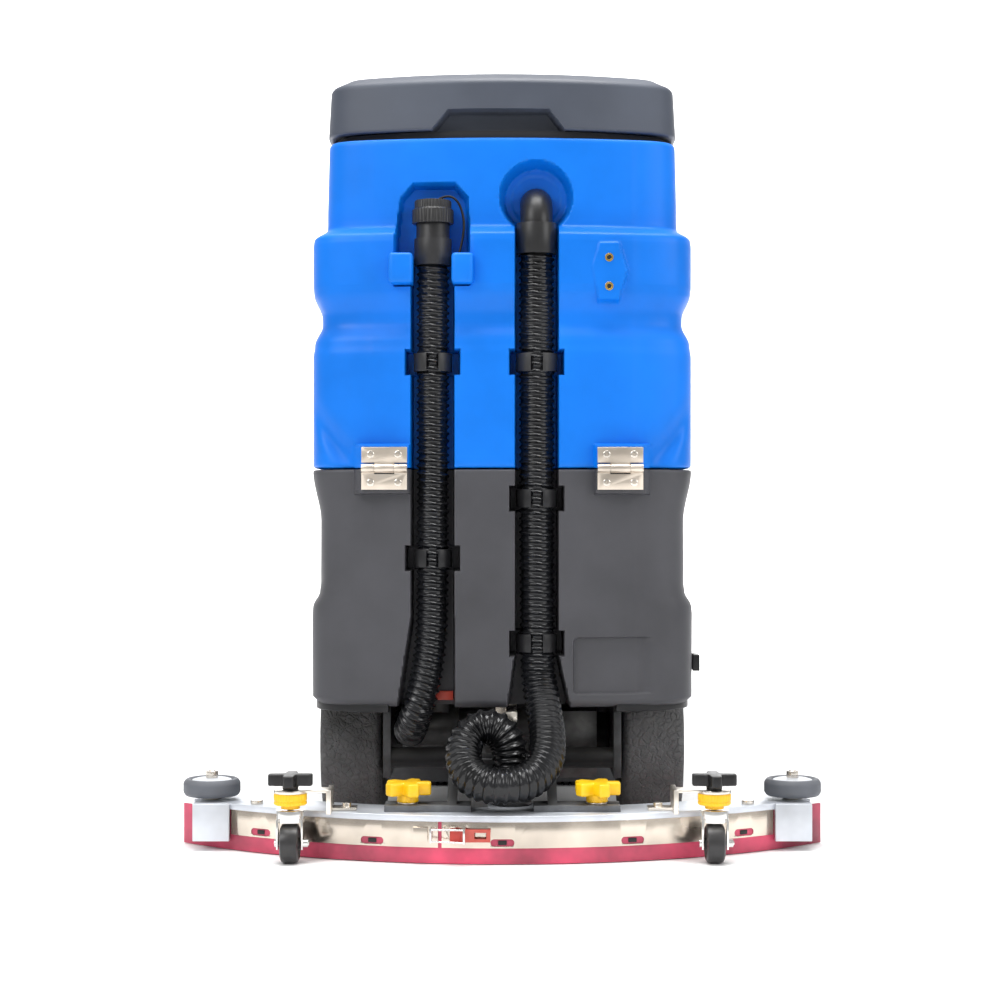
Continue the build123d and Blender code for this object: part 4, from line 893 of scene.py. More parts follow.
class SCRUBBER_OT_tank(bpy.types.Operator):
    """Makes the blue recovery tank with its hose channels, clip pockets, recesses and hinge pads"""

    bl_idname = "scrubber.tank"
    bl_label = "Recovery tank"

    def execute(self, context):
        shell = context.scene.scrubber_shells
        edge = shell.channel_edge
        bottom, top = 0.5005, 0.939
        rear_x = lines(-FLAT_HALF, FLAT_HALF, 0.0042, [(-0.146, -0.040, 0.0020), (-0.004, 0.095, 0.0021),
                                                       (0.116, 0.170, 0.0022)], EDGES_ACROSS, edge)
        z_lines = lines(bottom + 0.004, top - 0.005, 0.0042, [(0.740, 0.912, 0.0021)],
                        [0.640 - POCKET_RISE, 0.640 + POCKET_RISE, 0.531, 0.742], edge)
        levels = [
            (0.4900, 0.2570, -0.530), (0.650, 0.2570, -0.530), (0.668, 0.2550, -0.5275),
            (0.694, 0.2450, -0.518), (0.704, 0.2452, -0.518), (0.736, 0.2560, -0.529),
            (0.745, 0.2570, -0.530), (0.800, 0.2570, -0.530), (0.808, 0.2560, -0.529),
            (0.824, 0.2390, -0.5085), (0.832, 0.2385, -0.508), (0.950, 0.2360, -0.508),
        ]
        sizes = eased(levels, z_lines)
        rows = [(0.2535, -0.5265, -0.1135, bottom, 1), (0.2560, -0.5290, -0.1110, bottom + 0.0015, 1)]
        rows += [(half, rear, -0.110, z, 1) for (half, rear), z in zip(sizes, z_lines)]
        rows += [(0.2355, -0.5075, -0.1105, 0.9368, 1), (0.2335, -0.5055, -0.1125, 0.9388, 1),
                 (0.2310, -0.5030, -0.1150, top, 1), (0.1930, -0.4430, -0.1470, top, 0.3),
                 (0.1900, -0.4400, -0.1500, top - 0.002, 0.3), (0.1900, -0.4400, -0.1500, 0.929, 0.3),
                 (0.2280, -0.4520, -0.1180, 0.925, 0.3), (0.2280, -0.4520, -0.1180, 0.520, 0.3),
                 (0.2200, -0.4440, -0.1260, 0.508, 0.3)]
        x, y, z = shell_rings(rear_x, rows, 0.019, 0.100, np.linspace(0.06, 1, 12))
        features = (y < -0.43) & (np.arange(len(rows)) < len(rows) - 8)[:, None]
        face = parting_lines(x, y, shell.mould_line)
        for centre, high in ((DRAIN_X, 0.760), (VACUUM_X, 0.840)):
            reach = inside_box(x, z, centre - CHANNEL_HALF, centre + CHANNEL_HALF, 0.4, high)
            pocket = inside_box(x, z, centre - POCKET_HALF, centre + POCKET_HALF, 0.640 - POCKET_RISE,
                                0.640 + POCKET_RISE)
            face = sunk(face, reach, CHANNEL_FLOOR, edge)
            face = sunk(face, pocket, POCKET_FLOOR, edge)
        face = sunk(face, inside(x, z, DRAIN_RECESS), CHANNEL_FLOOR, 0.005)
        ridge = np.hypot(x - VACUUM_X, z - 0.860)
        cone = np.interp(ridge, [0, 0.0415, 0.0425, 0.0495, 0.051],
                         [CHANNEL_FLOOR] * 2 + [-0.477, -0.506, -0.60])
        step = np.interp(ridge, [0.0325, 0.0335], [0.0015, 0.0])
        face = np.where(ridge < 0.051, np.maximum(face, cone + step), face)
        for side in SIDES:
            pad = inside_box(x, z, side * HINGE_X - 0.033, side * HINGE_X + 0.033, 0.48, 0.531)
            face = sunk(face, pad, -0.533, edge)
        face = sunk(face, inside(x, z, ACCESSORY_PLATE), -0.523, 0.0022)
        bend = (np.abs(x) - 0.190) / 0.067
        scoop = np.exp(-(((z - 0.508 - 0.075 * np.clip(bend, 0, 1) ** 1.4) / 0.020) ** 2))
        scoop = scoop * np.sin(pi * np.clip(bend, 0, 1)) * 0.011 * (z < 0.62)
        face = face + scoop
        y = np.where(features, face, y)
        surfaces = [ringed(np.stack([x, y, z], -1))]
        surfaces.append(rounded_box((-0.243, -0.140, 0.5005), (0.243, 0.150, 0.610), 0.007, 0.022))
        for left, right in ((-0.149, -0.1174), (-0.0666, -0.038)):
            surfaces.append(rounded_box((left, -0.546, 0.742), (right, CHANNEL_FLOOR + 0.004, 0.782), 0.0045,
                                        0.006))
        for side in SIDES:
            start, end = (side * 0.062, -0.100, 0.947), (side * 0.092, -0.100, 0.947)
            surfaces.append(bar(start, end, 0.007))
            x_span = sorted((side * 0.062, side * 0.092))
            surfaces.append(rounded_box((x_span[0], -0.118, 0.930), (x_span[1], -0.100, 0.947), 0.0015))
        surfaces.append(bar((-0.092, -0.100, 0.947), (0.092, -0.100, 0.947), 0.003, turns=20))
        piece("recovery_tank_shell", surfaces, "tank_blue", "recovery_tank", ("recovery_tank",), sharp=50)
        return {"FINISHED"}


class SCRUBBER_OT_lid(bpy.types.Operator):
    """Makes the crowned tank lid with its bevelled shoulder and the hand recess at the rear"""

    bl_idname = "scrubber.lid"
    bl_label = "Tank lid"

    def execute(self, context):
        shell = context.scene.scrubber_shells
        recess = [(-0.093, 0.9496), (-0.071, 0.976), (0.061, 0.976), (0.082, 0.9496), (0.082, 0.90),
                  (-0.093, 0.90)]
        rear_x = lines(-FLAT_HALF, FLAT_HALF, 0.0060, [(-0.100, -0.060, 0.0013), (0.052, 0.090, 0.0013)],
                       [], shell.channel_edge)
        wall_z = lines(0.9535, 1.0120, 0.0040, [(0.9535, 0.982, 0.0013)])
        wall = [(float(np.interp(z, [0.95, 1.016], [0.2380, 0.2345])),
                 float(np.interp(z, [0.95, 1.016], [-0.5110, -0.5055])), -0.114, z, 1) for z in wall_z]
        rows = [(0.2180, -0.4320, -0.126, 1.0120, 0.6), (0.2260, -0.4400, -0.120, 0.9560, 0.6),
                (0.2310, -0.5020, -0.120, 0.9500, 1), (0.2345, -0.5070, -0.117, 0.9496, 1),
                (0.2365, -0.5095, -0.1155, 0.9504, 1), (0.2378, -0.5107, -0.1143, 0.9518, 1)] + wall
        rows += [(0.2340, -0.5050, -0.1142, 1.0140, 1), (0.2322, -0.5035, -0.1155, 1.0165, 1),
                 (0.2290, -0.5008, -0.1180, 1.0188, 1), (0.2060, -0.4830, -0.1320, 1.0278, 1),
                 (0.2020, -0.4795, -0.1345, 1.0290, 1), (0.1970, -0.4750, -0.1380, 1.0296, 1)]
        crown = [(0.1970 * share, -0.3065 - 0.1685 * share, -0.3065 + 0.1685 * share,
                  1.0296 + 0.0042 * (1 - share**2), share) for share in (0.9, 0.75, 0.55, 0.32, 0.12)]
        x, y, z = shell_rings(rear_x, rows + crown, 0.030, 0.105, np.linspace(0.06, 1, 10))
        depth = inside(x, z, recess)
        face = sunk(y, depth, np.maximum(y, -0.474), 0.0030)
        level = (np.arange(len(rows + crown)) > 1)[:, None] & (y < -0.44)
        y = np.where(level, face, y)
        surfaces = [ringed(np.stack([x, y, z], -1))]
        surfaces.append(bar((-0.060, -0.100, 0.947), (0.060, -0.100, 0.947), 0.007))
        surfaces.append(rounded_box((-0.060, -0.118, 0.9475), (0.060, -0.100, 0.960), 0.0015))
        piece("tank_lid_shell", surfaces, "lid_grey", "tank_lid", ("tank_lid",), sharp=50)
        painted("lid_gasket", "gasket_rubber_and_bore_shade")
        return {"FINISHED"}


class SCRUBBER_OT_body(bpy.types.Operator):
    """Makes the grey lower body with its channels, blank panel, wheel arches and under-trim"""

    bl_idname = "scrubber.body"
    bl_label = "Lower body"

    def execute(self, context):
        shell = context.scene.scrubber_shells
        edge = shell.channel_edge
        skirt, top = 0.184, 0.4985
        flares = ([(0.017, 0.250), (0.074, 0.250), (0.106, 0.10), (-0.004, 0.10)],
                  [(-0.120, 0.300), (-0.064, 0.300), (-0.064, 0.10), (-0.150, 0.10)])
        pockets = ((DRAIN_X, 0.381), (VACUUM_X, 0.460), (VACUUM_X, 0.269))
        rear_x = lines(-FLAT_HALF, FLAT_HALF, 0.0045, [(-0.152, -0.056, 0.0021), (-0.006, 0.110, 0.0021)],
                       EDGES_ACROSS + [0.0945], 0.0018)
        z_lines = lines(skirt + 0.009, top - 0.004, 0.0045, [(0.193, 0.305, 0.0023)],
                        [at + way for _, at in pockets for way in (-POCKET_RISE, POCKET_RISE)]
                        + [0.276, 0.202, 0.466], 0.0018)
        levels = [
            (0.150, 0.2550, -0.530), (0.196, 0.2580, -0.530), (0.306, 0.2585, -0.530),
            (0.314, 0.2575, -0.530), (0.334, 0.2480, -0.530), (0.346, 0.2465, -0.530),
            (0.430, 0.2462, -0.530), (0.497, 0.2575, -0.530), (0.510, 0.2575, -0.530),
        ]
        sizes = eased(levels, z_lines)
        rows = [(0.1460, -0.4380, 0.018, 0.2580, 0.1), (0.1480, -0.4400, 0.020, skirt, 0.1),
                (0.2450, -0.5180, 0.141, skirt, 1), (0.2500, -0.5245, 0.146, skirt + 0.0014, 1),
                (0.2535, -0.5282, 0.149, skirt + 0.0046, 1)]
        rows += [(half, rear, 0.150, z, 1) for (half, rear), z in zip(sizes, z_lines)]
        rows += [(0.2572, -0.5297, 0.1498, top - 0.0016, 1), (0.2560, -0.5285, 0.149, top - 0.0004, 1),
                 (0.2545, -0.5270, 0.147, top, 1), (0.2370, -0.4370, 0.1460, top, 0.3),
                 (0.2350, -0.4350, 0.1440, top - 0.002, 0.3), (0.2350, -0.4350, 0.1440, 0.2720, 0.3),
                 (0.2300, -0.4300, 0.1390, 0.2682, 0.3)]
        side_lines = np.unique(np.concatenate([np.linspace(0.03, 1, 9), np.linspace(0.008, 0.50, 44)]))
        x, y, z = shell_rings(rear_x, rows, 0.019, 0.100, side_lines)
        arch = 0.125 + np.sqrt(np.maximum(0.137**2 - (y + 0.300) ** 2, 0))
        arch = np.where(np.abs(y + 0.300) < 0.137, arch, 0)
        low = np.maximum(np.maximum(arch, skirt), np.where(y > 0.020, 0.215, 0))
        low = np.where(np.abs(x) > 0.140, low, np.where(y > 0.020, 0.215, skirt))
        outer = (np.arange(len(rows)) > 0)[:, None] & (z < 0.300)
        z = np.where(outer, low + (z - skirt) * (0.300 - low) / (0.300 - skirt), z)
        number = np.arange(len(rows))
        features = (y < -0.43) & ((number > 1) & (number < len(rows) - 4))[:, None]
        face = parting_lines(x, y, shell.mould_line)
        for centre in (DRAIN_X, VACUUM_X):
            reach = inside_box(x, z, centre - CHANNEL_HALF, centre + CHANNEL_HALF, 0.1, 0.6)
            face = sunk(face, reach, CHANNEL_FLOOR, edge)
        for centre, at in pockets:
            pocket = inside_box(x, z, centre - POCKET_HALF, centre + POCKET_HALF, at - POCKET_RISE,
                                at + POCKET_RISE)
            face = sunk(face, pocket, POCKET_FLOOR, edge)
        for flare in flares:
            face = sunk(face, inside(x, z, flare), CHANNEL_FLOOR, 0.0045)
        panel = rounded([(0.094, 0.202), (0.196, 0.202), (0.196, 0.276), (0.094, 0.276)], 0.007, loop=True)
        border = inside(x, z, [tuple(point) for point in panel])
        face = face + 0.0055 * smoothstep(border / 0.0020 + 0.5)
        for side in SIDES:
            pad = inside_box(x, z, side * HINGE_X - 0.033, side * HINGE_X + 0.033, 0.466, 0.6)
            face = sunk(face, pad, -0.533, edge)
        y = np.where(features, face, y)
        piece("lower_body_shell", [ringed(np.stack([x, y, z], -1))], "body_grey", "chassis", ("lower_body",),
              sharp=50)
        trims = []
        for side in SIDES:
            t = np.linspace(0, 1, 24)[:, None]
            corners = np.array([(0.150, -0.508), (0.236, -0.492), (0.246, -0.462), (0.2465, -0.438)])
            plan = (1 - t) ** 3 * corners[0] + 3 * (1 - t) ** 2 * t * corners[1]
            plan = plan + 3 * (1 - t) * t**2 * corners[2] + t**3 * corners[3]
            path = np.column_stack([plan[:, 0] * side, plan[:, 1], np.full(24, 0.1815)])
            inward, _ = carried(path, UP)
            outline = rounded([(-0.006, -0.0055), (0.006, -0.0035), (0.006, 0.006), (-0.006, 0.006)], 0.002,
                              loop=True)
            trims.append(ringed(path[:, None] + inward[:, None] * outline[None, :, :1]
                                + UP * outline[None, :, 1:]))
        piece("skirt_trim", trims, "moulded_black", "chassis")
        return {"FINISHED"}


# ---- Running gear ----------------------------------------------------------------------------------
def turned(profile, origin, axis, turns=72):
    """A closed profile of (radius, height) carried once round an axis, as a ring with a hole through it."""
    return lathed(profile, origin, axis, turns, closed=True)


def acorn(origin, axis, radius=0.0055, height=0.009):
    """An acorn nut: a hexagon that rolls over into a dome, with a quarter circle as its profile above the
    flats."""
    rise = np.linspace(0, pi / 2, 9)[:-1]
    profile = [(radius * 0.3, 0), (radius, 0), (radius, height * 0.45)]
    profile += [(radius * 0.82 * cos(at), height * (0.5 + 0.5 * sin(at))) for at in rise]
    return lathed(profile, origin, axis, turns=24, lobes=6, lobe_depth=radius * 0.12,
                  lobed=[1, 1, 1] + [0] * len(rise))


class SCRUBBER_OT_wheels(bpy.types.Operator):
    """Makes the tyres with rounded shoulders and a crinkled tread, and their turned rims"""

    bl_idname = "scrubber.wheels"
    bl_label = "Wheels"

    def execute(self, context):
        wheels = (
            ("left_wheel", (-0.208, -0.300, 0.125), 0.125, 0.042, 0.088, 0.0126, (-1, 0, 0)),
            ("right_wheel", (0.208, -0.300, 0.125), 0.125, 0.042, 0.088, 0.0126, (1, 0, 0)),
            ("front_wheel", (0.0, 0.500, 0.110), 0.110, 0.038, 0.074, 0.0102, (1, 0, 0)),
        )
        for node, centre, radius, half, rim, bore, axis in wheels:
            t = np.linspace(0, pi / 2, 8)
            shoulder = np.stack([radius - 0.012 + 0.012 * np.sin(t), half - 0.010 + 0.010 * np.cos(t)], 1)
            crown = [(radius, 0.0)]
            tyre = [(rim - 0.004, half - 0.004), (rim + 0.004, half)] + shoulder.tolist() + crown
            tyre += [(at, -height) for at, height in tyre[::-1][1:]]
            piece(f"{node}_tyre", [turned(tyre, centre, axis, 128)], "tyre_rubber", node, (node,), sharp=30)
            disc = rounded([(bore, -half), (0.030, -half), (0.034, -half + 0.012),
                            (rim - 0.010, -half + 0.018), (rim - 0.002, -half + 0.004),
                            (rim - 0.002, half - 0.004), (rim - 0.010, half - 0.018), (0.034, half - 0.014),
                            (0.030, half - 0.001), (bore, half - 0.001)], 0.003, loop=True)
            piece(f"{node}_rim", [turned(disc, centre, axis)], "gearbox_silver", node, (node,))
        return {"FINISHED"}


class SCRUBBER_OT_running_gear(bpy.types.Operator):
    """Finishes the frame, transaxle, brush deck, steering and the other machined parts with rolled edges"""

    bl_idname = "scrubber.running_gear"
    bl_label = "Running gear"

    def execute(self, context):
        parts = (
            ("frame", 0.0018, "frame_black", "chassis"), ("transaxle", 0.0020, "drive_dark", "chassis"),
            ("batteries", 0.0030, "battery_case", "chassis"),
            ("lift_actuator", 0.0012, "screw_steel", "chassis"),
            ("front_cowl", 0.0060, "body_grey", "chassis"), ("footplate", 0.0010, "grip_rubber", "chassis"),
            ("front_fork", 0.0015, "frame_black", "front_fork"),
            ("filler_cap", 0.0020, "knob_black", "filler_cap"),
            ("drive_pedal", 0.0020, "grip_rubber", "drive_pedal"),
            ("key_switch", 0.0006, "bright_chrome", "key_switch"),
            ("emergency_stop", 0.0020, "stop_red", "emergency_stop"),
            ("brush_deck", 0.0015, "deck_grey", "brush_deck"),
            ("horn_button", 0.0012, "knob_black", "horn_button"),
            ("brush_motors", 0.0020, "frame_black", "brush_deck"),
            ("deck_arms", 0.0012, "frame_black", "deck_arms"),
            ("steering_wheel", 0.0012, "grip_rubber", "steering_wheel"),
            ("seat_base", 0.0040, "moulded_black", "recovery_tank"),
            ("vacuum_motor", 0.0020, "moulded_black", "recovery_tank"),
            ("squeegee_arm", 0.0012, "frame_black", "squeegee_arm"),
            ("valve_handle", 0.0008, "valve_red", "valve_handle"),
            ("hinge_upper_leaves", 0.0005, "hinge_steel", "recovery_tank"),
            ("hinge_lower_leaves", 0.0005, "hinge_steel", "chassis"),
            ("chassis_hose_fittings", 0.0007, "moulded_black", "chassis"),
            ("tank_hose_fittings", 0.0008, "cuff_black", "recovery_tank"),
        )
        for node, width, finish_name, body in parts:
            softened(node, width, finish_name, body)
        painted("lift_chain", "chain_gold")
        rings, bore_shade_discs = [], []
        for height in (0.740, 0.778):
            place = (0.141, -0.523, height)
            edge = rounded([(0.0031, -0.003), (0.0056, -0.003), (0.0056, 0.0010), (0.0031, 0.0010)], 0.0004,
                           loop=True)
            rings.append(turned(edge, place, (0, -1, 0), 40))
            # A near-black disc just under the rim's face: painted shade standing in for the dark inside of
            # the insert's bore.
            bore_shade_discs.append(lathed([(0.0004, -0.003), (0.0033, -0.003), (0.0033, 0.0002), (0.0004, 0.0001)],
                                place, (0, -1, 0), 32))
        piece("threaded_insert_rims", rings, "brass", "recovery_tank", ("threaded_inserts",))
        # The bore discs are painted shade for the holes of the threaded inserts, not a part of their own.
        piece("threaded_insert_bore_shade", bore_shade_discs, "gasket_rubber_and_bore_shade", "recovery_tank", ("threaded_inserts",))
        for node, body, heights in (("hinge_upper_leaves", "recovery_tank", 0.518),
                                    ("hinge_lower_leaves", "chassis", 0.481)):
            screws = []
            for side in SIDES:
                for way in SIDES:
                    profile = [(0.0004, 0), (0.0050, 0), (0.0049, 0.0008), (0.0040, 0.0015), (0.0025, 0.0016),
                               (0.0022, 0.0004), (0.0004, 0.0003)]
                    place = (side * HINGE_X + way * 0.018, -0.5362, heights)
                    screws.append(lathed(profile, place, (0, -1, 0), 36, lobes=6, lobe_depth=0.0004,
                                         lobed=[0, 0, 0, 0, 1, 1, 0]))
            piece(f"{node}_screws", screws, "screw_steel", body, (node,))
        return {"FINISHED"}


class SCRUBBER_OT_brushes(bpy.types.Operator):
    """Makes the two disc brushes with rows of bristle tufts"""

    bl_idname = "scrubber.brushes"
    bl_label = "Brushes"

    def execute(self, context):
        for node, side in (("left_brush", -1), ("right_brush", 1)):
            centre = (side * 0.142, 0.180, 0)
            block = rounded([(0.0121, 0.047), (0.062, 0.047), (0.064, 0.044), (0.135, 0.046), (0.135, 0.060),
                             (0.0121, 0.060)], 0.002, loop=True)
            piece(f"{node}_block", [turned(block, centre, UP, 96)], "battery_case", node, (node,))
            tufts = []
            for ring in np.linspace(0.068, 0.126, 6):
                count = int(2 * pi * ring / 0.0115)
                angle = np.arange(count) * 2 * pi / count + ring * 90
                turn = np.arange(6) * pi / 3
                foot, tip = 0.0032, 0.0048
                lean = 0.004
                rings = []
                for height, wide, spread in ((0.0455, foot, 0), (0.0005, tip, lean)):
                    reach = ring + spread * (ring - 0.062) / 0.064
                    middle = np.stack([centre[0] + reach * np.cos(angle), centre[1] + reach * np.sin(angle)],
                                      1)
                    around = np.stack([np.cos(turn), np.sin(turn)], 1) * wide
                    flat = middle[:, None] + around[None]
                    rings.append(np.concatenate([flat, np.full(flat.shape[:2] + (1,), height)], 2))
                base = np.stack(rings, 1).reshape(-1, 3)
                tuft = np.arange(count)[:, None] * 12
                column = np.arange(6)
                ahead = (column + 1) % 6
                walls = np.stack([tuft + column, tuft + ahead, tuft + 6 + ahead, tuft + 6 + column],
                                 -1).reshape(-1, 4)
                tufts.append((base, [walls[:, ::-1], tuft + column[None], tuft + 6 + column[None, ::-1]]))
            piece(f"{node}_bristles", [outward(rows) for rows in tufts], "bristle_dark", node, (node,))
        return {"FINISHED"}


# ---- Squeegee --------------------------------------------------------------------------------------
class SCRUBBER_OT_squeegee(bpy.types.Operator):
    """Makes the squeegee's casting, blades, steel band, inlet and latch"""

    bl_idname = "scrubber.squeegee"
    bl_label = "Squeegee"

    def execute(self, context):
        parts = (
            ("squeegee_casting", 0.0014, "cast_aluminium", "squeegee"),
            ("squeegee_blades", 0.0005, "blade_rubber", "squeegee"),
            ("blade_band", 0.0003, "stainless", "squeegee"),
            ("squeegee_yoke", 0.0012, "yoke_black", "squeegee"),
            ("suction_inlet", 0.0010, "cuff_black", "squeegee"),
            ("squeegee_hardware", 0.0005, "screw_steel", "squeegee"),
            ("latch_lever", 0.0006, "latch_red", "latch_lever"),
            ("latch_hook", 0.0004, "bright_chrome", "latch_hook"),
        )
        for node, width, finish_name, body in parts:
            softened(node, width, finish_name, body)
        studs = []
        for angle in (-29, -14.8, 0, 14.8, 29):
            out = np.array([sin(radians(angle)), -cos(radians(angle)), 0])
            along = np.array([-out[1], out[0], 0])
            place = np.array([0, -0.0055, 0.028]) + out * 0.6441
            outline = rounded([(-0.0055, -0.0028), (0.0055, -0.0028), (0.0055, 0.0028), (-0.0055, 0.0028)],
                              0.001, loop=True)
            studs.append(slab(outline, -0.001, 0.0011, 0.0004, origin=place, axes=(along, UP, out)))
        piece("band_studs", studs, "knob_black", "squeegee")
        return {"FINISHED"}


class SCRUBBER_OT_knobs(bpy.types.Operator):
    """Makes the lobed knobs, height nuts, rollers and casters of the squeegee"""

    bl_idname = "scrubber.knobs"
    bl_label = "Knobs, rollers and casters"

    def execute(self, context):
        for name, side in (("left", -1), ("right", 1)):
            origin = (side * 0.268, -0.630, 0)
            star = star_outline(4, 0.028, 0.013, 0.015)
            knob = [slab(star, 0.097, 0.112, 0.0022, origin=origin),
                    lathed(rounded([(0.003, 0.0923), (0.010, 0.0923), (0.010, 0.0975), (0.003, 0.0975)],
                                   0.0008),
                           origin, UP)]
            piece(f"{name}_lock_knob_finished", knob, "knob_black", f"{name}_lock_knob",
                  (f"{name}_lock_knob",), sharp=45)
            profile = [(0.003, 0.068), (0.012, 0.068), (0.012, 0.0728), (0.0195, 0.0731), (0.021, 0.0742),
                       (0.021, 0.0772), (0.0198, 0.0777), (0.0198, 0.0784), (0.021, 0.0789), (0.021, 0.0862),
                       (0.0198, 0.0875), (0.003, 0.0875)]
            lobed = [0, 0, 0, 0, 1, 1, 0, 0, 1, 1, 0, 0]
            piece(f"{name}_height_nut_finished", [lathed(profile, origin, UP, 160, 32, 0.0008, lobed)],
                  "knob_yellow", f"{name}_height_nut", (f"{name}_height_nut",), sharp=45)
            origin = (side * 0.121, -0.600, 0)
            star = star_outline(5, 0.030, 0.0135, 0.0165)
            knob = [slab(star, 0.081, 0.098, 0.0028, origin=origin),
                    lathed(rounded([(0.003, 0.0723), (0.014, 0.0723), (0.014, 0.0815), (0.003, 0.0815)],
                                   0.001),
                           origin, UP)]
            piece(f"{name}_mount_knob_finished", knob, "knob_yellow", f"{name}_mount_knob",
                  (f"{name}_mount_knob",), sharp=45)
            origin = (side * 0.385, -0.506, 0)
            rubber = rounded([(0.026, 0.0685), (0.026, 0.0870), (0.031, 0.0895), (0.0345, 0.0885),
                              (0.0375, 0.084), (0.0375, 0.0715), (0.0345, 0.067), (0.031, 0.0665)], 0.002,
                              loop=True)
            piece(f"{name}_roller_tyre", [turned(rubber, origin, UP)], "roller_rubber", f"{name}_roller",
                  (f"{name}_roller",))
            hub = rounded([(0.0044, 0.0663), (0.026, 0.0675), (0.0262, 0.0875), (0.020, 0.0893),
                           (0.010, 0.0900), (0.0044, 0.0900)], 0.001, loop=True)
            piece(f"{name}_roller_hub", [turned(hub, origin, UP)], "powder_silver", f"{name}_roller",
                  (f"{name}_roller",))
            piece(f"{name}_roller_nut", [acorn((side * 0.385, -0.506, 0.0895), UP, 0.0078, 0.0105)],
                  "bright_chrome", "squeegee", ("squeegee_hardware",))
            softened(f"{name}_caster_fork", 0.0006, "bright_chrome", f"{name}_caster")
            piece(f"{name}_axle_nut", [acorn((side * 0.268 + 0.0165, -0.635, 0.025), RIGHT, 0.0050, 0.0085)],
                  "bright_chrome", f"{name}_caster", (f"{name}_caster_fork",))
            origin = (side * 0.268, -0.635, 0.025)
            tread = [(0.0180, 0.0090), (0.0205, 0.0118), (0.0238, 0.0100), (0.0250, 0.0050)]
            tread = tread + [(at, -height) for at, height in tread[::-1]]
            piece(f"{name}_caster_tyre", [turned(tread, origin, RIGHT)], "caster_rubber",
                  f"{name}_caster_wheel", (f"{name}_caster_wheel",))
            hub = rounded([(0.0032, -0.0130), (0.0075, -0.0130), (0.0085, -0.0080), (0.0178, -0.0090),
                           (0.0182, 0.0090), (0.0085, 0.0080), (0.0075, 0.0130), (0.0032, 0.0130)], 0.0008,
                           loop=True)
            piece(f"{name}_caster_hub", [turned(hub, origin, RIGHT)], "knob_black", f"{name}_caster_wheel",
                  (f"{name}_caster_wheel",))
        return {"FINISHED"}


class SCRUBBER_OT_drain_cap(bpy.types.Operator):
    """Makes the drain hose's ribbed screw cap"""

    bl_idname = "scrubber.drain_cap"
    bl_label = "Drain cap"

    def execute(self, context):
        profile = [(0.006, 0.8243), (0.0270, 0.8243), (0.0275, 0.8250), (0.0275, 0.8420), (0.0262, 0.8432),
                   (0.0248, 0.8440), (0.0245, 0.8450), (0.0245, 0.8535), (0.0232, 0.8550), (0.006, 0.8550)]
        lobed = [0, 0, 1, 1, 0, 0, 1, 1, 0, 0]
        cap = lathed(profile, (DRAIN_X, -0.504, 0), UP, 192, 36, 0.0010, lobed)
        piece("drain_cap_finished", [cap], "cuff_black", "drain_cap", ("drain_cap",), sharp=40)
        return {"FINISHED"}


# ---- Seat ------------------------------------------------------------------------------------------
FOAM_VOXEL = 0.0065
FOAM_FRAMES = 20
WELT_BELOW, WELT_ABOVE = 0.004, 0.006
CHANNEL_WIDTH, CHANNEL_DEPTH, CHANNEL_FADE = 0.004, 0.006, 0.012


def places_of(mesh):
    """Where a mesh's vertices are, one row each."""
    places = np.zeros(len(mesh.vertices) * 3, np.float32)
    mesh.vertices.foreach_get("co", places)
    return places.reshape(-1, 3)


def put(mesh, places):
    """Moves a mesh's vertices to new places, one row each."""
    mesh.vertices.foreach_set("co", places.ravel())
    mesh.update()


def inflated(mesh, seat):
    """A shape filled like foam in its cover: remeshed evenly, blown up by cloth pressure, and no point moved
    further than the swell that the seat allows."""
    draft = bpy.data.objects.new("padding", mesh)
    bpy.context.scene.collection.objects.link(draft)
    remesh = draft.modifiers.new("Even mesh", "REMESH")
    remesh.mode = "VOXEL"
    remesh.voxel_size = FOAM_VOXEL
    bpy.context.view_layer.update()
    even = bpy.data.meshes.new_from_object(draft.evaluated_get(bpy.context.evaluated_depsgraph_get()))
    draft.modifiers.clear()
    draft.data = even
    start = places_of(even)
    cloth = draft.modifiers.new("Cover", "CLOTH")
    cloth.settings.use_pressure = True
    cloth.settings.uniform_pressure_force = seat.inflation
    cloth.settings.effector_weights.gravity = 0
    cloth.point_cache.frame_start, cloth.point_cache.frame_end = 1, FOAM_FRAMES
    for number in range(1, FOAM_FRAMES + 1):
        bpy.context.scene.frame_set(number)
    moved = places_of(draft.evaluated_get(bpy.context.evaluated_depsgraph_get()).to_mesh()) - start
    bpy.context.scene.frame_set(1)
    draft.modifiers.clear()
    length = np.linalg.norm(moved, axis=1, keepdims=True)
    moved *= np.minimum(1, seat.swell / np.maximum(length, 1e-9))
    put(even, start + moved)
    bpy.data.objects.remove(draft)
    return even


def pressed(mesh, low, high):
    """Holds every point of a padded mesh inside the space between two corners."""
    put(mesh, np.clip(places_of(mesh), low, high))


def channelled(mesh, lines_at, axis, face_axis, level):
    """Sews straight channels across a padded face: points above a level sink by a bell curve of their
    distance from each line."""
    places = places_of(mesh)
    over = smoothstep((places[:, face_axis] - level) / CHANNEL_FADE)
    for at in lines_at:
        away = (places[:, axis] - at) / CHANNEL_WIDTH
        places[:, face_axis] -= over * CHANNEL_DEPTH * np.exp(-(away**2))
    put(mesh, places)


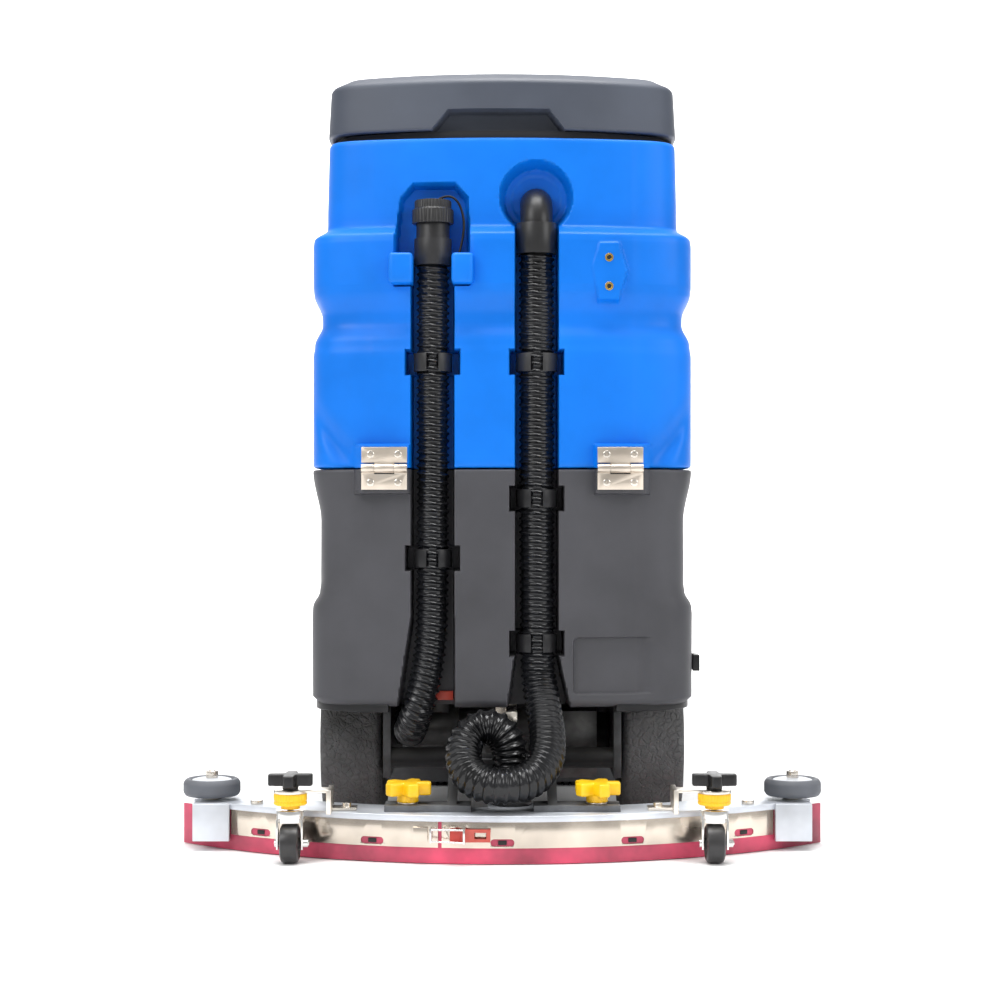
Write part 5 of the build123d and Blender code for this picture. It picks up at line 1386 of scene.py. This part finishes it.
class SCRUBBER_OT_seat(bpy.types.Operator):
    """Makes the seat cushion and backrest as filled covers with sewn channels"""

    bl_idname = "scrubber.seat"
    bl_label = "Seat"

    def execute(self, context):
        seat = context.scene.scrubber_seat
        cushions = (
            ("seat_cushion", (-0.211, -0.0475, 0.6405), (0.211, 0.1995, 0.7115), 0.022, 0.034,
             (-0.075, 0.075), 0, 2, 0.690),
            ("seat_backrest", (-0.2045, -0.108, 0.6405), (0.2045, -0.0505, 0.9045), 0.020, 0.028,
             (0.735, 0.820), 2, 1, -0.075),
        )
        for name, low, high, edge, corner, channels, axis, face_axis, level in cushions:
            inner_low = tuple(np.array(low) + WELT_BELOW)
            inner_high = tuple(np.array(high) - WELT_ABOVE)
            points, faces = rounded_box(inner_low, inner_high, edge, corner)
            mesh = bpy.data.meshes.new(name)
            mesh.from_pydata(points.tolist(), [], [face for group in faces for face in group.tolist()])
            mesh = inflated(mesh, seat)
            channelled(mesh, channels, axis, face_axis, level)
            pressed(mesh, low, high)
            item = settled(name, mesh, "seat_vinyl", "recovery_tank", ("seat_cushions",),
                           sharp=180)
            smooth = item.modifiers.new("Smooth cover", "SUBSURF")
            smooth.levels = smooth.render_levels = 1
        return {"FINISHED"}


# ---- Sidebar and start -----------------------------------------------------------------------------
SETTINGS = {"scrubber_shells": ShellSettings, "scrubber_hoses": HoseSettings,
            "scrubber_squeegee": SqueegeeSettings, "scrubber_seat": SeatSettings,
            "scrubber_stage": StageSettings}
OPERATORS = (SCRUBBER_OT_stage, SCRUBBER_OT_tank, SCRUBBER_OT_lid, SCRUBBER_OT_body, SCRUBBER_OT_hoses,
             SCRUBBER_OT_drain_cap, SCRUBBER_OT_wheels, SCRUBBER_OT_running_gear, SCRUBBER_OT_brushes,
             SCRUBBER_OT_squeegee, SCRUBBER_OT_knobs, SCRUBBER_OT_seat)


class SCRUBBER_PT_panel(bpy.types.Panel):
    """Every step of the machine and the sizes that it reads"""

    bl_idname = "SCRUBBER_PT_panel"
    bl_label = "Ride-on floor scrubber"
    bl_space_type = "VIEW_3D"
    bl_region_type = "UI"
    bl_category = "Scrubber"

    def draw(self, context):
        layout = self.layout
        for name, settings in SETTINGS.items():
            for label in settings.__annotations__:
                layout.prop(getattr(context.scene, name), label)
        for operator in OPERATORS:
            layout.operator(operator.bl_idname)


CLASSES = (*SETTINGS.values(), *OPERATORS, SCRUBBER_PT_panel)


def register():
    """Registers the classes and hangs the settings on the scene."""
    for cls in CLASSES:
        bpy.utils.register_class(cls)
    for name, cls in SETTINGS.items():
        setattr(bpy.types.Scene, name, PointerProperty(type=cls))


def unregister():
    """Takes the settings and the classes away again."""
    for name in SETTINGS:
        delattr(bpy.types.Scene, name)
    for cls in reversed(CLASSES):
        bpy.utils.unregister_class(cls)


def main():
    """Builds everything in order."""
    register()
    for operator in OPERATORS:
        group, name = operator.bl_idname.split(".")
        getattr(getattr(bpy.ops, group), name)()


if __name__ == "__main__":
    main()
